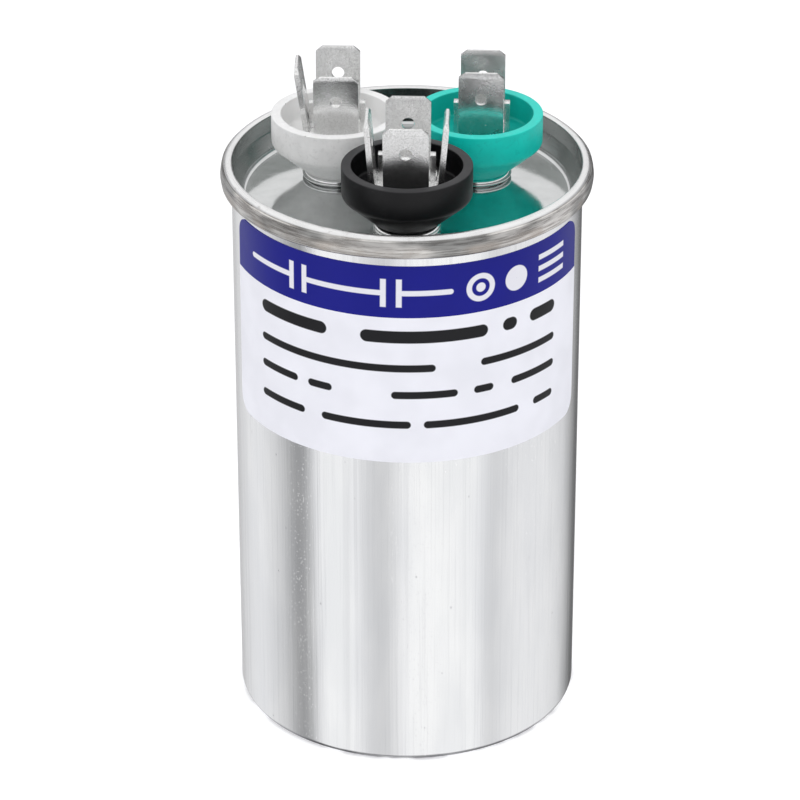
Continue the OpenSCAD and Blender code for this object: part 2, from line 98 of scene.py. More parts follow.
class CanSizes(bpy.types.PropertyGroup):
    """Sizes of the can and its rolled cover."""

    wall: FloatProperty(
        name="Can wall", description="Thickness of the can wall",
        default=0.4 * MM, unit="LENGTH")
    radius: FloatProperty(
        name="Can radius", description="Outside radius of the can wall",
        default=-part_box("label")[0].y - 0.1 * MM, unit="LENGTH")
    base_bend: FloatProperty(
        name="Base bend", description="Radius of the bend between wall and base",
        default=0.9 * MM, unit="LENGTH")
    seam_height: FloatProperty(
        name="Seam height", description="Height of the double seam",
        default=3.1 * MM, unit="LENGTH")
    seam_reach: FloatProperty(
        name="Seam radius", description="Outside radius of the double seam",
        default=reach("cover"), unit="LENGTH")
    seam_inner: FloatProperty(
        name="Chuck wall radius", description="Radius of the cover wall inside the seam",
        default=24.85 * MM, unit="LENGTH")
    seam_bulge: FloatProperty(
        name="Seam bulge", description="How far the seam's outer wall bulges",
        default=0.12 * MM, unit="LENGTH")
    crease_depth: FloatProperty(
        name="Crease depth", description="Depth of the crease along the seam's shoulder",
        default=0.1 * MM, unit="LENGTH")
    panel_drop: FloatProperty(
        name="Panel depth", description="Depth of the panel below the top of the seam",
        default=5.3 * MM, unit="LENGTH")
    wall_foot: FloatProperty(
        name="Wall foot radius", description="Inner radius of the cover wall above the panel",
        default=23.6 * MM, unit="LENGTH")
    taper: FloatProperty(
        name="Taper height", description="Height of the taper at the foot of the seam",
        default=1.6 * MM, unit="LENGTH")
    panel_bend: FloatProperty(
        name="Panel bend", description="Radius of the bend between wall and panel",
        default=0.65 * MM, unit="LENGTH")
    sheet: FloatProperty(
        name="Cover sheet", description="Thickness of the cover sheet",
        default=0.3 * MM, unit="LENGTH")
    segments: IntProperty(
        name="Segments", description="Faces round the can and the cover",
        default=256, min=64, max=512)


class CupSizes(bpy.types.PropertyGroup):
    """Sizes of an insulating cup and of the collar that it stands in."""

    radius: FloatProperty(
        name="Cup radius", description="Outside radius of a cup",
        default=width("common_cup") / 2, unit="LENGTH")
    wall: FloatProperty(
        name="Cup wall", description="Wall thickness of a cup at its rim",
        default=1.4 * MM, unit="LENGTH")
    wall_height: FloatProperty(
        name="Straight wall", description="Height of the straight part of the cup wall",
        default=4.4 * MM, unit="LENGTH")
    depth: FloatProperty(
        name="Cup depth", description="Depth from the rim to the floor",
        default=high("common_cup") - low("common_tabs"), unit="LENGTH")
    neck_radius: FloatProperty(
        name="Neck radius", description="Radius of the neck on the collar",
        default=4.4 * MM, unit="LENGTH")
    neck_level: FloatProperty(
        name="Neck level", description="Height of the neck's lower face",
        default=high("common_gasket"), unit="LENGTH")
    plug_radius: FloatProperty(
        name="Plug radius", description="Radius of the plug inside the collar",
        default=3.2 * MM, unit="LENGTH")
    edge: FloatProperty(
        name="Rim round", description="Radius of the round along the rim",
        default=0.14 * MM, unit="LENGTH")
    bead: FloatProperty(
        name="Bead radius", description="Radius of the rolled bead on the collar",
        default=0.55 * MM, unit="LENGTH")
    collar_radius: FloatProperty(
        name="Collar bore", description="Inside radius of the collar",
        default=width("common_gasket") / 2, unit="LENGTH")
    segments: IntProperty(
        name="Segments", description="Faces round a cup",
        default=160, min=48, max=256)
    collar_segments: IntProperty(
        name="Collar segments", description="Faces round a collar",
        default=96, min=48, max=256)


class TabSizes(bpy.types.PropertyGroup):
    """Sizes of the push-on tabs and their brackets."""

    width: FloatProperty(
        name="Tab width", description="Width of a push-on tab",
        default=6.35 * MM, unit="LENGTH")
    sheet: FloatProperty(
        name="Tab sheet", description="Thickness of the tab sheet",
        default=0.8 * MM, unit="LENGTH")
    bend: FloatProperty(
        name="Foot bend", description="Radius of the foot bend on the sheet's centre line",
        default=0.8 * MM, unit="LENGTH")
    foot: FloatProperty(
        name="Foot distance", description="Distance of a front tab's foot from the stud",
        default=3.9 * MM, unit="LENGTH")
    side_foot: FloatProperty(
        name="Side foot distance", description="Distance of a side tab's foot from the stud",
        default=4.8 * MM, unit="LENGTH")
    side_foot_width: FloatProperty(
        name="Side foot width", description="Width of a side tab at its foot",
        default=5.55 * MM, unit="LENGTH")
    hole: FloatProperty(
        name="Latch hole", description="Radius of the latch hole",
        default=0.9 * MM, unit="LENGTH")
    hole_from_tip: FloatProperty(
        name="Latch distance", description="Distance from the tip to the latch hole",
        default=3.9 * MM, unit="LENGTH")
    corner: FloatProperty(
        name="Tip corner", description="Size of the corner cut at the tip",
        default=0.9 * MM, unit="LENGTH")
    tip_bevel: FloatProperty(
        name="Tip bevel", description="Height of the lead-in bevel at the tip",
        default=0.8 * MM, unit="LENGTH")
    tip_thin: FloatProperty(
        name="Tip thinning", description="Depth of the lead-in bevel on each face",
        default=0.2 * MM, unit="LENGTH")
    edge: FloatProperty(
        name="Edge round", description="Radius of the rounds along the stamped edges",
        default=0.15 * MM, unit="LENGTH")
    ear_gap: FloatProperty(
        name="Ear distance", description="Distance of an ear's middle from the stud",
        default=3.6 * MM, unit="LENGTH")
    ear_width: FloatProperty(
        name="Ear width", description="Width of a locating ear",
        default=1.4 * MM, unit="LENGTH")
    ear_height: FloatProperty(
        name="Ear height", description="Height of a locating ear above the cup floor",
        default=5.4 * MM, unit="LENGTH")
    stud: FloatProperty(
        name="Stud hole", description="Radius of the hole for the terminal stud",
        default=1.65 * MM, unit="LENGTH")
    lean: FloatProperty(
        name="Lean", description="Outward lean of the tabs on the common and compressor cups",
        default=math.radians(9.5), unit="ROTATION")
    fan_lean: FloatProperty(
        name="Fan lean", description="Outward lean of the fan cup's tabs",
        default=math.radians(1.0), unit="ROTATION")
    side_lean: FloatProperty(
        name="Side lean", description="Outward lean of the common cup's side tabs",
        default=math.radians(4.8), unit="ROTATION")
    single_lean: FloatProperty(
        name="Single lean", description="Outward lean of the compressor cup's side tab",
        default=math.radians(8.3), unit="ROTATION")
    single_foot: FloatProperty(
        name="Single foot distance",
        description="Distance of the compressor side tab's foot from the stud",
        default=4.3 * MM, unit="LENGTH")
    single_tail: FloatProperty(
        name="Single tail",
        description="How far the compressor side tab's bracket runs past the stud",
        default=2.9 * MM, unit="LENGTH")
    single_round: FloatProperty(
        name="Tail round", description="Radius of the round corners of that bracket's tail",
        default=2.2 * MM, unit="LENGTH")
    slot_play: FloatProperty(
        name="Slot play", description="How much an ear's slot is wider and longer than the ear",
        default=0.2 * MM, unit="LENGTH")
    side_drop: FloatProperty(
        name="Side drop", description="How far the common side tabs' tips stay below the solid's",
        default=1.0 * MM, unit="LENGTH")
    single_drop: FloatProperty(
        name="Single drop", description="How far the compressor side tab's tip stays below the solid's",
        default=0.65 * MM, unit="LENGTH")


class LabelSizes(bpy.types.PropertyGroup):
    """Sizes of the wrapped label."""

    width: FloatProperty(
        name="Label width", description="Width of the label along the can wall",
        default=61.5 * MM, unit="LENGTH")
    corner: FloatProperty(
        name="Label corner", description="Radius of the label's corners",
        default=2.6 * MM, unit="LENGTH")
    film: FloatProperty(
        name="Film", description="Thickness of the label film",
        default=0.1 * MM, unit="LENGTH")
    lift: FloatProperty(
        name="Lift", description="How far the label's top edge lies above the solid's",
        default=0.3 * MM, unit="LENGTH")
    skew: FloatProperty(
        name="Skew", description="Turn of the label in its own plane",
        default=math.radians(0.36), unit="ROTATION")
    columns: IntProperty(
        name="Columns", description="Faces along the label's width",
        default=72, min=24, max=144)


class FinishColours(bpy.types.PropertyGroup):
    """Colours of the mouldings and of the label."""

    common: FloatVectorProperty(
        name="Common cup", description="Colour of the common terminal's cup",
        subtype="COLOR", size=4, min=0, max=1, default=(0.006, 0.006, 0.007, 1))
    compressor: FloatVectorProperty(
        name="Compressor cup", description="Colour of the compressor terminal's cup",
        subtype="COLOR", size=4, min=0, max=1, default=(0.79, 0.79, 0.785, 1))
    fan: FloatVectorProperty(
        name="Fan cup", description="Colour of the fan terminal's cup",
        subtype="COLOR", size=4, min=0, max=1, default=(0.002, 0.61, 0.52, 1))
    field: FloatVectorProperty(
        name="Label field", description="Colour of the label's field",
        subtype="COLOR", size=4, min=0, max=1, default=(0.88, 0.885, 0.95, 1))
    band: FloatVectorProperty(
        name="Label band", description="Colour of the band along the label's top",
        subtype="COLOR", size=4, min=0, max=1, default=(0.006, 0.008, 0.24, 1))
    ink: FloatVectorProperty(
        name="Ink", description="Colour of the print on the field",
        subtype="COLOR", size=4, min=0, max=1, default=(0.012, 0.012, 0.014, 1))
    signs: FloatVectorProperty(
        name="Signs", description="Colour of the signs on the band",
        subtype="COLOR", size=4, min=0, max=1, default=(0.80, 0.80, 0.86, 1))


class StudioSettings(bpy.types.PropertyGroup):
    """The camera, the floor and the lights."""

    distance: FloatProperty(
        name="Camera distance", description="Distance of the camera from the can's axis in plan",
        default=519.575 * MM, unit="LENGTH")
    height: FloatProperty(
        name="Camera height", description="Height of the camera above the floor",
        default=325.974 * MM, unit="LENGTH")
    tilt: FloatProperty(
        name="Camera tilt", description="Turn of the camera up from straight down",
        default=math.radians(61.7256), unit="ROTATION")
    lens: FloatProperty(
        name="Lens", description="Focal length in millimetres on a 36 mm sensor",
        default=181.164)
    shift: FloatProperty(
        name="Shift", description="Sideways shift of the picture", default=-0.0088)
    soft_level: FloatProperty(
        name="Soft level", description="Level of the even light from the surroundings",
        default=0.8, min=0)
    floor: FloatProperty(
        name="Floor size", description="Width of the floor", default=6.0, unit="LENGTH")
    floor_colour: FloatVectorProperty(
        name="Floor colour", description="Colour of the floor", subtype="COLOR", size=4,
        default=(0.93, 0.93, 0.935, 1), min=0, max=1)


# ---------------------------------------------------------------- modelling helpers


def deselect():
    """Leaves edit mode and selects nothing."""
    if bpy.context.object and bpy.context.object.mode != "OBJECT":
        bpy.ops.object.mode_set(mode="OBJECT")
    bpy.ops.object.select_all(action="DESELECT")


def activate(piece):
    """Makes piece the only selected object."""
    deselect()
    piece.select_set(True)
    bpy.context.view_layer.objects.active = piece


def mesh_select(piece, domain, test):
    """Selects the edges or faces that pass test(element), and leaves piece in edit mode."""
    bpy.ops.object.mode_set(mode="EDIT")
    bpy.ops.mesh.select_mode(type=domain)
    bpy.ops.mesh.select_all(action="DESELECT")
    bpy.ops.object.mode_set(mode="OBJECT")
    mesh = piece.data
    for part in mesh.edges if domain == "EDGE" else mesh.polygons:
        part.select = test(part)
    bpy.ops.object.mode_set(mode="EDIT")


def fix_place():
    """Puts the active object's place, turn and scale into its mesh."""
    bpy.ops.object.transform_apply(location=True, rotation=True, scale=True)


def apply_modifiers(piece):
    """Applies every modifier of piece, in order."""
    activate(piece)
    for name in [modifier.name for modifier in piece.modifiers]:
        bpy.ops.object.modifier_apply(modifier=name)


def settle(piece, shade):
    """Puts the origin of piece at the world's origin and shades it smooth up to an angle."""
    activate(piece)
    fix_place()
    bpy.ops.object.shade_smooth_by_angle(angle=math.radians(shade))


def finish(piece, finishes, node_names):
    """Gives piece its materials, rides it on the body and hides the CAD nodes that it stands for."""
    piece.data.materials.clear()
    for made in finishes:
        piece.data.materials.append(made)
    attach(piece, BODY)
    if node_names:
        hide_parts(*node_names)


def arc(middle, radius, start, end, steps=6):
    """Points of an arc round middle, a (radius, level), from start to end in degrees."""
    angles = [math.radians(start + (end - start) * i / steps) for i in range(steps + 1)]
    return [(middle[0] + radius * math.cos(angle), middle[1] + radius * math.sin(angle))
            for angle in angles]


def turn(name, profile, segments, shade, at=Vector()):
    """A closed turned piece: a circle at the first point of profile, extruded from point to point.

    profile is a list of (radius, level). It starts and ends on the axis, in poles, or it runs
    round to its first point. shade is the angle, in degrees, up to which it is shaded smooth.
    """
    deselect()
    if profile[0][0] > TINY:
        profile = profile + profile[:1]
    radius, level = max(profile[0][0], TINY), profile[0][1]
    bpy.ops.mesh.primitive_circle_add(vertices=segments, radius=radius, location=(at.x, at.y, level))
    piece = bpy.context.object
    piece.name = name
    fix_place()
    bpy.ops.object.mode_set(mode="EDIT")
    bpy.ops.mesh.select_all(action="SELECT")
    for next_radius, next_level in profile[1:]:
        next_radius = max(next_radius, TINY)
        ratio = next_radius / radius
        bpy.ops.mesh.extrude_region_move(
            TRANSFORM_OT_translate={"value": (0, 0, next_level - level)})
        bpy.ops.transform.resize(
            value=(ratio, ratio, 1), center_override=(at.x, at.y, next_level))
        radius, level = next_radius, next_level
    bpy.ops.mesh.select_all(action="SELECT")
    bpy.ops.mesh.remove_doubles(threshold=2.5 * TINY)
    bpy.ops.mesh.normals_make_consistent(inside=False)
    bpy.ops.object.mode_set(mode="OBJECT")
    settle(piece, shade)
    return piece


def copy_to(piece, name, offset):
    """A copy of piece with a mesh of its own, moved by offset."""
    activate(piece)
    bpy.ops.object.duplicate()
    twin = bpy.context.object
    twin.name = name
    twin.data.name = name
    bpy.ops.transform.translate(value=offset)
    fix_place()
    return twin


def one_each(first, stem):
    """first, which stands at the common terminal, and its copies at the others, by terminal."""
    pieces = {"common": first}
    for name in TERMINALS[1:]:
        pieces[name] = copy_to(first, stem + name, CUP_AT[name] - CUP_AT["common"])
    return pieces


# ---------------------------------------------------------------- node helpers


class Nodes:
    """Builds one node tree: adds nodes, sets their sockets and links them."""

    def __init__(self, tree):
        self.tree = tree

    def add(self, kind, inputs=None, **settings):
        """One node; inputs maps a socket to a value or to another node's output."""
        node = self.tree.nodes.new(kind)
        for key, value in settings.items():
            setattr(node, key, value)
        for key, value in (inputs or {}).items():
            self.feed(node.inputs[key], value)
        return node

    def feed(self, socket, value):
        """Links an output to socket, or sets its value."""
        if isinstance(value, bpy.types.NodeSocket):
            self.tree.links.new(value, socket)
        else:
            socket.default_value = value

    def use(self, tree, inputs):
        """Outputs of one use of a node group, with its own values."""
        return self.add("ShaderNodeGroup", inputs, node_tree=tree).outputs

    def math(self, operation, a, b=0.0, clamp=False):
        """Output of a Math node."""
        node = self.add("ShaderNodeMath", {0: a, 1: b}, operation=operation, use_clamp=clamp)
        return node.outputs[0]

    def times(self, a, b):
        """a times b."""
        return self.math("MULTIPLY", a, b)

    def plus(self, a, b, clamp=False):
        """a plus b, kept between 0 and 1 if clamp is set."""
        return self.math("ADD", a, b, clamp)

    def minus(self, a, b):
        """a minus b."""
        return self.math("SUBTRACT", a, b)

    def length(self, a, b):
        """Length of the vector (a, b)."""
        return self.math("SQRT", self.plus(self.times(a, a), self.times(b, b)))

    def axes(self, vector):
        """The X, Y and Z of vector."""
        return self.add("ShaderNodeSeparateXYZ", {"Vector": vector}).outputs[:]

    def ramp(self, value, low, high, start=0.0, end=1.0, smooth=True):
        """value mapped from low..high to start..end."""
        node = self.add(
            "ShaderNodeMapRange", {"Value": value, "From Min": low, "From Max": high,
                                   "To Min": start, "To Max": end},
            interpolation_type="SMOOTHSTEP" if smooth else "LINEAR")
        return node.outputs["Result"]

    def mix(self, fac, a, b, blend="MIX"):
        """Colour between a and b."""
        node = self.add("ShaderNodeMix", data_type="RGBA", blend_type=blend)
        self.feed(node.inputs["Factor"], fac)
        self.feed(node.inputs["A"], a)
        self.feed(node.inputs["B"], b)
        return node.outputs["Result"]

    def noise(self, vector, scale, detail=3.0, rough=0.55):
        """Noise value over vector."""
        node = self.add("ShaderNodeTexNoise", {
            "Vector": vector, "Scale": scale, "Detail": detail, "Roughness": rough})
        return node.outputs["Fac"]

    def patches(self, vector, scale, detail, low, high):
        """Soft patches: noise over vector that is 0 below low and 1 above high."""
        return self.ramp(self.noise(vector, scale, detail), low, high)

    def stretched(self, vector, scale):
        """vector scaled along each axis."""
        return self.add("ShaderNodeMapping", {"Vector": vector, "Scale": scale}).outputs["Vector"]

    def bump(self, height, strength, distance, under=None):
        """Normal output of a Bump node, over another one's normal if under is given."""
        inputs = {"Height": height, "Strength": strength, "Distance": distance}
        if under is not None:
            inputs["Normal"] = under
        return self.add("ShaderNodeBump", inputs).outputs["Normal"]


GROUPS = {}


def group(name, numbers, outputs, build):
    """A shader node group, built once.

    It takes a Vector and numbers, a dict from a socket's name to its default, and gives outputs,
    a tuple of the names of numbers. build(nodes, source) returns a value for each of them.
    """
    if name in GROUPS:
        return GROUPS[name]
    tree = bpy.data.node_groups.new(name, "ShaderNodeTree")
    tree.interface.new_socket("Vector", in_out="INPUT", socket_type="NodeSocketVector")
    for label, default in numbers.items():
        socket = tree.interface.new_socket(label, in_out="INPUT", socket_type="NodeSocketFloat")
        socket.default_value = default
    for label in outputs:
        tree.interface.new_socket(label, in_out="OUTPUT", socket_type="NodeSocketFloat")
    nodes = Nodes(tree)
    source = tree.nodes.new("NodeGroupInput")
    sink = tree.nodes.new("NodeGroupOutput")
    for label, value in build(nodes, source.outputs).items():
        nodes.feed(sink.inputs[label], value)
    GROUPS[name] = tree
    return tree


def drawn_grain():
    """Fine lines along the can's height, with a few deeper ones."""

    def build(nodes, source):
        fine = nodes.noise(nodes.stretched(source["Vector"], (2600, 2600, 26)), 1, 4, 0.7)
        deep = nodes.noise(nodes.stretched(source["Vector"], (620, 620, 5)), 1, 2, 0.5)
        lines = nodes.ramp(deep, 0.56, 0.72)
        return {"Height": nodes.minus(fine, nodes.times(lines, 0.7)), "Lines": lines, "Fine": fine}

    return group("Drawn Grain", {}, ("Height", "Lines", "Fine"), build)


def soft_dents():
    """Slow waves in a pressed or drawn sheet."""

    def build(nodes, source):
        wide = nodes.noise(source["Vector"], source["Scale"], 1.5, 0.4)
        return {"Height": nodes.times(wide, source["Amount"])}

    return group("Soft Dents", {"Scale": 60.0, "Amount": 1.0}, ("Height",), build)


def speckle():
    """Small pits and specks: a mask that is 1 in each speck."""

    def build(nodes, source):
        cells = nodes.add("ShaderNodeTexVoronoi", {
            "Vector": source["Vector"], "Scale": source["Scale"], "Randomness": 1.0})
        spot = nodes.ramp(cells.outputs["Distance"], 0.05, 0.16, 1.0, 0.0)
        pick = nodes.add("ShaderNodeSeparateColor", {"Color": cells.outputs["Color"]})
        chosen = nodes.math("LESS_THAN", pick.outputs["Red"], source["Share"])
        return {"Mask": nodes.times(spot, chosen)}

    return group("Speckle", {"Scale": 700.0, "Share": 0.1}, ("Mask",), build)


def scratches():
    """Thin straight scratches in one direction over a sheet, in patches."""

    def build(nodes, source):
        way = nodes.add("ShaderNodeMapping", {
            "Vector": source["Vector"], "Rotation": (0.0, 0.0, 0.6), "Scale": (1.0, 22.0, 1.0)})
        lines = nodes.ramp(nodes.noise(way.outputs["Vector"], source["Scale"], 2.0, 0.6), 0.66, 0.72)
        finer = nodes.times(source["Scale"], 1.4)
        return {"Mask": nodes.times(lines, nodes.patches(source["Vector"], finer, 3, 0.5, 0.62))}

    return group("Scratches", {"Scale": 200.0}, ("Mask",), build)


def rolled_streaks():
    """Streaks round the axis, on upright walls and on flat rings alike."""

    def build(nodes, source):
        x, y, z = nodes.axes(source["Vector"])
        across = nodes.plus(z, nodes.length(x, y))
        along = nodes.add("ShaderNodeCombineXYZ", {
            "X": nodes.times(x, source["Along"]),
            "Y": nodes.times(y, source["Along"]),
            "Z": nodes.times(across, source["Across"])}).outputs["Vector"]
        fine = nodes.noise(along, 1.0, 4, 0.65)
        return {"Fine": fine, "Lines": nodes.ramp(fine, 0.52, 0.70)}

    return group("Rolled Streaks", {"Along": 200.0, "Across": 3000.0}, ("Fine", "Lines"), build)


def material(name, build, metallic=0.0, roughness=0.5, **constants):
    """A Principled material whose sockets build(nodes, position) feeds."""
    made = bpy.data.materials.new(name)
    made.use_nodes = True
    nodes = Nodes(made.node_tree)
    shader = made.node_tree.nodes["Principled BSDF"]
    shader.inputs["Metallic"].default_value = metallic
    shader.inputs["Roughness"].default_value = roughness
    for key, value in constants.items():
        shader.inputs[key.replace("_", " ")].default_value = value
    position = nodes.add("ShaderNodeTexCoord").outputs["Object"]
    for key, value in build(nodes, position).items():
        nodes.feed(shader.inputs[key], value)
    return made


def dimmed(colour, share):
    """colour with a share of its light."""
    return [part * share for part in colour[:3]] + [1]


# ---------------------------------------------------------------- metals


def can_metal():
    """Drawn aluminium: bright, with fine lines along its height, slow waves and small specks.

    Painted glints, bright specks in the colour that also bump the surface, lie in a few belts along
    the height, and the colour is darker, in patches, along the base.
    """
    base_dark_full, base_dark_end = 0.35 * MM, 1.0 * MM

    def build(nodes, position):
        grain = nodes.use(drawn_grain(), {"Vector": position})
        dents = nodes.use(soft_dents(), {
            "Vector": nodes.stretched(position, (1, 1, 0.35)), "Scale": 90.0, "Amount": 1.0})
        pits = nodes.use(speckle(), {
            "Vector": nodes.stretched(position, (1, 1, 0.6)), "Scale": 800.0, "Share": 0.10})
        specks = nodes.ramp(
            nodes.noise(nodes.stretched(position, (1, 1, 0.7)), 3400, 1, 0.5), 0.66, 0.74)
        belts = nodes.patches(nodes.stretched(position, (1, 1, 0.08)), 75, 2, 0.46, 0.58)
        # Painted glints: specks in a few belts that turn the colour nearly white and also bump the
        # surface.
        glint_specks = nodes.times(specks, belts)
        # The colour is darker, in patches, along the lowest millimetre.
        base_line = nodes.ramp(nodes.axes(position)[2], base_dark_full, base_dark_end, 1.0, 0.0)
        uneven = nodes.ramp(nodes.noise(position, 150, 3), 0.42, 0.58, 0.15, 0.9)
        cloud = nodes.patches(nodes.stretched(position, (1, 1, 0.25)), 140, 3, 0.3, 0.7)
        pale = nodes.mix(cloud, (0.83, 0.84, 0.855, 1), (0.93, 0.935, 0.94, 1))
        lined = nodes.mix(nodes.times(grain["Lines"], 0.3), pale, (0.62, 0.63, 0.65, 1))
        streaks = nodes.ramp(grain["Fine"], 0.5, 0.75, 0.0, 0.25)
        streaked = nodes.mix(streaks, lined, (0.66, 0.67, 0.69, 1))
        pitted = nodes.mix(nodes.times(pits["Mask"], 0.4), streaked, (0.40, 0.41, 0.43, 1))
        marked = nodes.mix(nodes.times(base_line, uneven), pitted, (0.24, 0.24, 0.26, 1))
        colour = nodes.mix(nodes.times(glint_specks, 0.9), marked, (0.99, 0.99, 1.0, 1))
        rough = nodes.plus(nodes.ramp(grain["Fine"], 0.3, 0.75, 0.11, 0.19),
                           nodes.times(pits["Mask"], 0.15))
        slow = nodes.bump(dents["Height"], 0.5, 0.35 * MM)
        relief = nodes.plus(grain["Height"], nodes.times(glint_specks, 1.4))
        return {"Base Color": colour, "Roughness": rough,
                "Normal": nodes.bump(relief, 0.3, 0.03 * MM, slow)}

    return material("Drawn aluminium", build, metallic=1.0)


def seam_metal(can):
    """Rolled tinplate of the seam: streaks along the roll, rubbed spots, a brown tint low down, and
    painted highlights: pale beige patches on the dark outer wall.
    """
    foot = high("cover") - can.seam_height

    def build(nodes, position):
        streaks = nodes.use(rolled_streaks(), {"Vector": position, "Along": 160.0, "Across": 2600.0})
        finer = nodes.use(rolled_streaks(), {"Vector": position, "Along": 900.0, "Across": 7000.0})
        pits = nodes.use(speckle(), {"Vector": position, "Scale": 1300.0, "Share": 0.16})
        patch = nodes.patches(position, 170, 3, 0.42, 0.62)
        # Soft patches where the outer wall is painted with pale beige highlights.
        patchy = nodes.patches(nodes.stretched(position, (1, 1, 2)), 95, 2, 0.42, 0.6)
        level = nodes.axes(position)[2]
        on_top = nodes.ramp(level, foot + 2.62 * MM, foot + 2.78 * MM)
        low_down = nodes.ramp(level, foot + 2.0 * MM, foot + 1.0 * MM)
        streak = nodes.ramp(streaks["Fine"], 0.36, 0.64)
        dim = nodes.mix(streak, (0.20, 0.195, 0.19, 1), (0.44, 0.44, 0.43, 1))
        painted_highlight = nodes.mix(streak, (0.40, 0.38, 0.36, 1), (0.86, 0.84, 0.81, 1))
        wide_streak = nodes.ramp(streaks["Fine"], 0.3, 0.7)
        crown = nodes.mix(wide_streak, (0.82, 0.82, 0.82, 1), (0.94, 0.94, 0.94, 1))
        # Painted highlights: in patches the wall's dark tone turns to pale beige, and the seam's top
        # keeps its crown.
        metal = nodes.mix(on_top, nodes.mix(patchy, dim, painted_highlight), crown)
        brown = nodes.times(nodes.times(patch, low_down), 0.55)
        tinted = nodes.mix(brown, metal, (0.50, 0.44, 0.39, 1))
        rubbed = nodes.times(nodes.times(finer["Lines"], patch), 0.4)
        dark = nodes.plus(nodes.times(pits["Mask"], 0.35), rubbed, clamp=True)
        rough = nodes.plus(nodes.ramp(streaks["Fine"], 0.3, 0.7, 0.24, 0.34), nodes.times(dark, 0.15))
        height = nodes.minus(nodes.times(finer["Fine"], 0.7), dark)
        return {"Base Color": nodes.mix(dark, tinted, (0.34, 0.32, 0.30, 1)), "Roughness": rough,
                "Normal": nodes.bump(height, 0.35, 0.03 * MM)}

    return material("Rolled tinplate", build, metallic=1.0)


def panel_metal(can):
    """Pressed tinplate: nearly a mirror on the panel, drawn into lines on the upright wall, which is
    also painted a darker, greenish grey: painted shade and a painted reflection.
    """
    panel = high("cover") - can.panel_drop

    def build(nodes, position):
        dents = nodes.use(soft_dents(), {"Vector": position, "Scale": 110.0, "Amount": 1.0})
        marks = nodes.use(scratches(), {"Vector": position, "Scale": 260.0})
        streaks = nodes.use(rolled_streaks(), {"Vector": position, "Along": 300.0, "Across": 4000.0})
        grain = nodes.noise(position, 3800, 2, 0.6)
        upright = nodes.ramp(nodes.axes(position)[2], panel + 0.3 * MM, panel + 1.0 * MM)
        cloud = nodes.noise(position, 300, 3)
        metal = nodes.mix(nodes.ramp(cloud, 0.3, 0.7), (0.60, 0.61, 0.61, 1), (0.68, 0.69, 0.69, 1))
        # Painted shade and painted reflection: the upright wall is darkened to a greenish grey.
        painted_wall_shade = nodes.mix(nodes.times(upright, 0.85), metal, (0.31, 0.33, 0.32, 1))
        lines = nodes.times(streaks["Lines"], nodes.times(upright, 0.5))
        streaked = nodes.mix(lines, painted_wall_shade, (0.20, 0.21, 0.20, 1))
        colour = nodes.mix(nodes.times(marks["Mask"], 0.25), streaked, (0.5, 0.5, 0.5, 1))
        patchy = nodes.plus(nodes.times(marks["Mask"], 0.2), nodes.times(upright, 0.12))
        slow = nodes.bump(dents["Height"], 0.35, 0.2 * MM)
        return {"Base Color": colour,
                "Roughness": nodes.plus(nodes.ramp(cloud, 0.3, 0.7, 0.07, 0.12), patchy),
                "Normal": nodes.bump(grain, 0.12, 0.02 * MM, slow)}

    return material("Pressed tinplate", build, metallic=1.0)


def tab_metal():
    """Tin plated strip: a sandy skin that breaks reflections into specks."""

    def build(nodes, position):
        sand = nodes.noise(position, 5200, 1, 0.5)
        cloud = nodes.noise(position, 420, 3)
        rubs = nodes.noise(nodes.stretched(position, (1, 1, 0.12)), 3600, 2, 0.6)
        pits = nodes.use(speckle(), {"Vector": position, "Scale": 1900.0, "Share": 0.08})
        tin = nodes.mix(nodes.ramp(cloud, 0.3, 0.7), (0.84, 0.84, 0.835, 1), (0.95, 0.95, 0.95, 1))
        rubbed = nodes.mix(nodes.ramp(rubs, 0.55, 0.72, 0.0, 0.35), tin, (0.60, 0.60, 0.59, 1))
        sanded = nodes.mix(nodes.ramp(sand, 0.46, 0.62, 0.0, 0.35), rubbed, (0.52, 0.52, 0.51, 1))
        return {"Base Color": nodes.mix(nodes.times(pits["Mask"], 0.6), sanded, (0.28, 0.27, 0.26, 1)),
                "Roughness": nodes.ramp(cloud, 0.3, 0.7, 0.2, 0.28),
                "Normal": nodes.bump(sand, 0.5, 0.03 * MM)}

    return material("Tin plated strip", build, metallic=0.97)


def plain_metal(name, dark, pale, roughness):
    """A plain worked metal: two tones in soft clouds and a little grain."""

    def build(nodes, position):
        grain = nodes.noise(position, 3000, 2)
        return {"Base Color": nodes.mix(nodes.patches(position, 500, 3, 0.3, 0.7), dark, pale),
                "Roughness": nodes.plus(roughness, nodes.times(grain, 0.08)),
                "Normal": nodes.bump(grain, 0.2, 0.03 * MM)}

    return material(name, build, metallic=1.0)


# ---------------------------------------------------------------- plastics, film and board


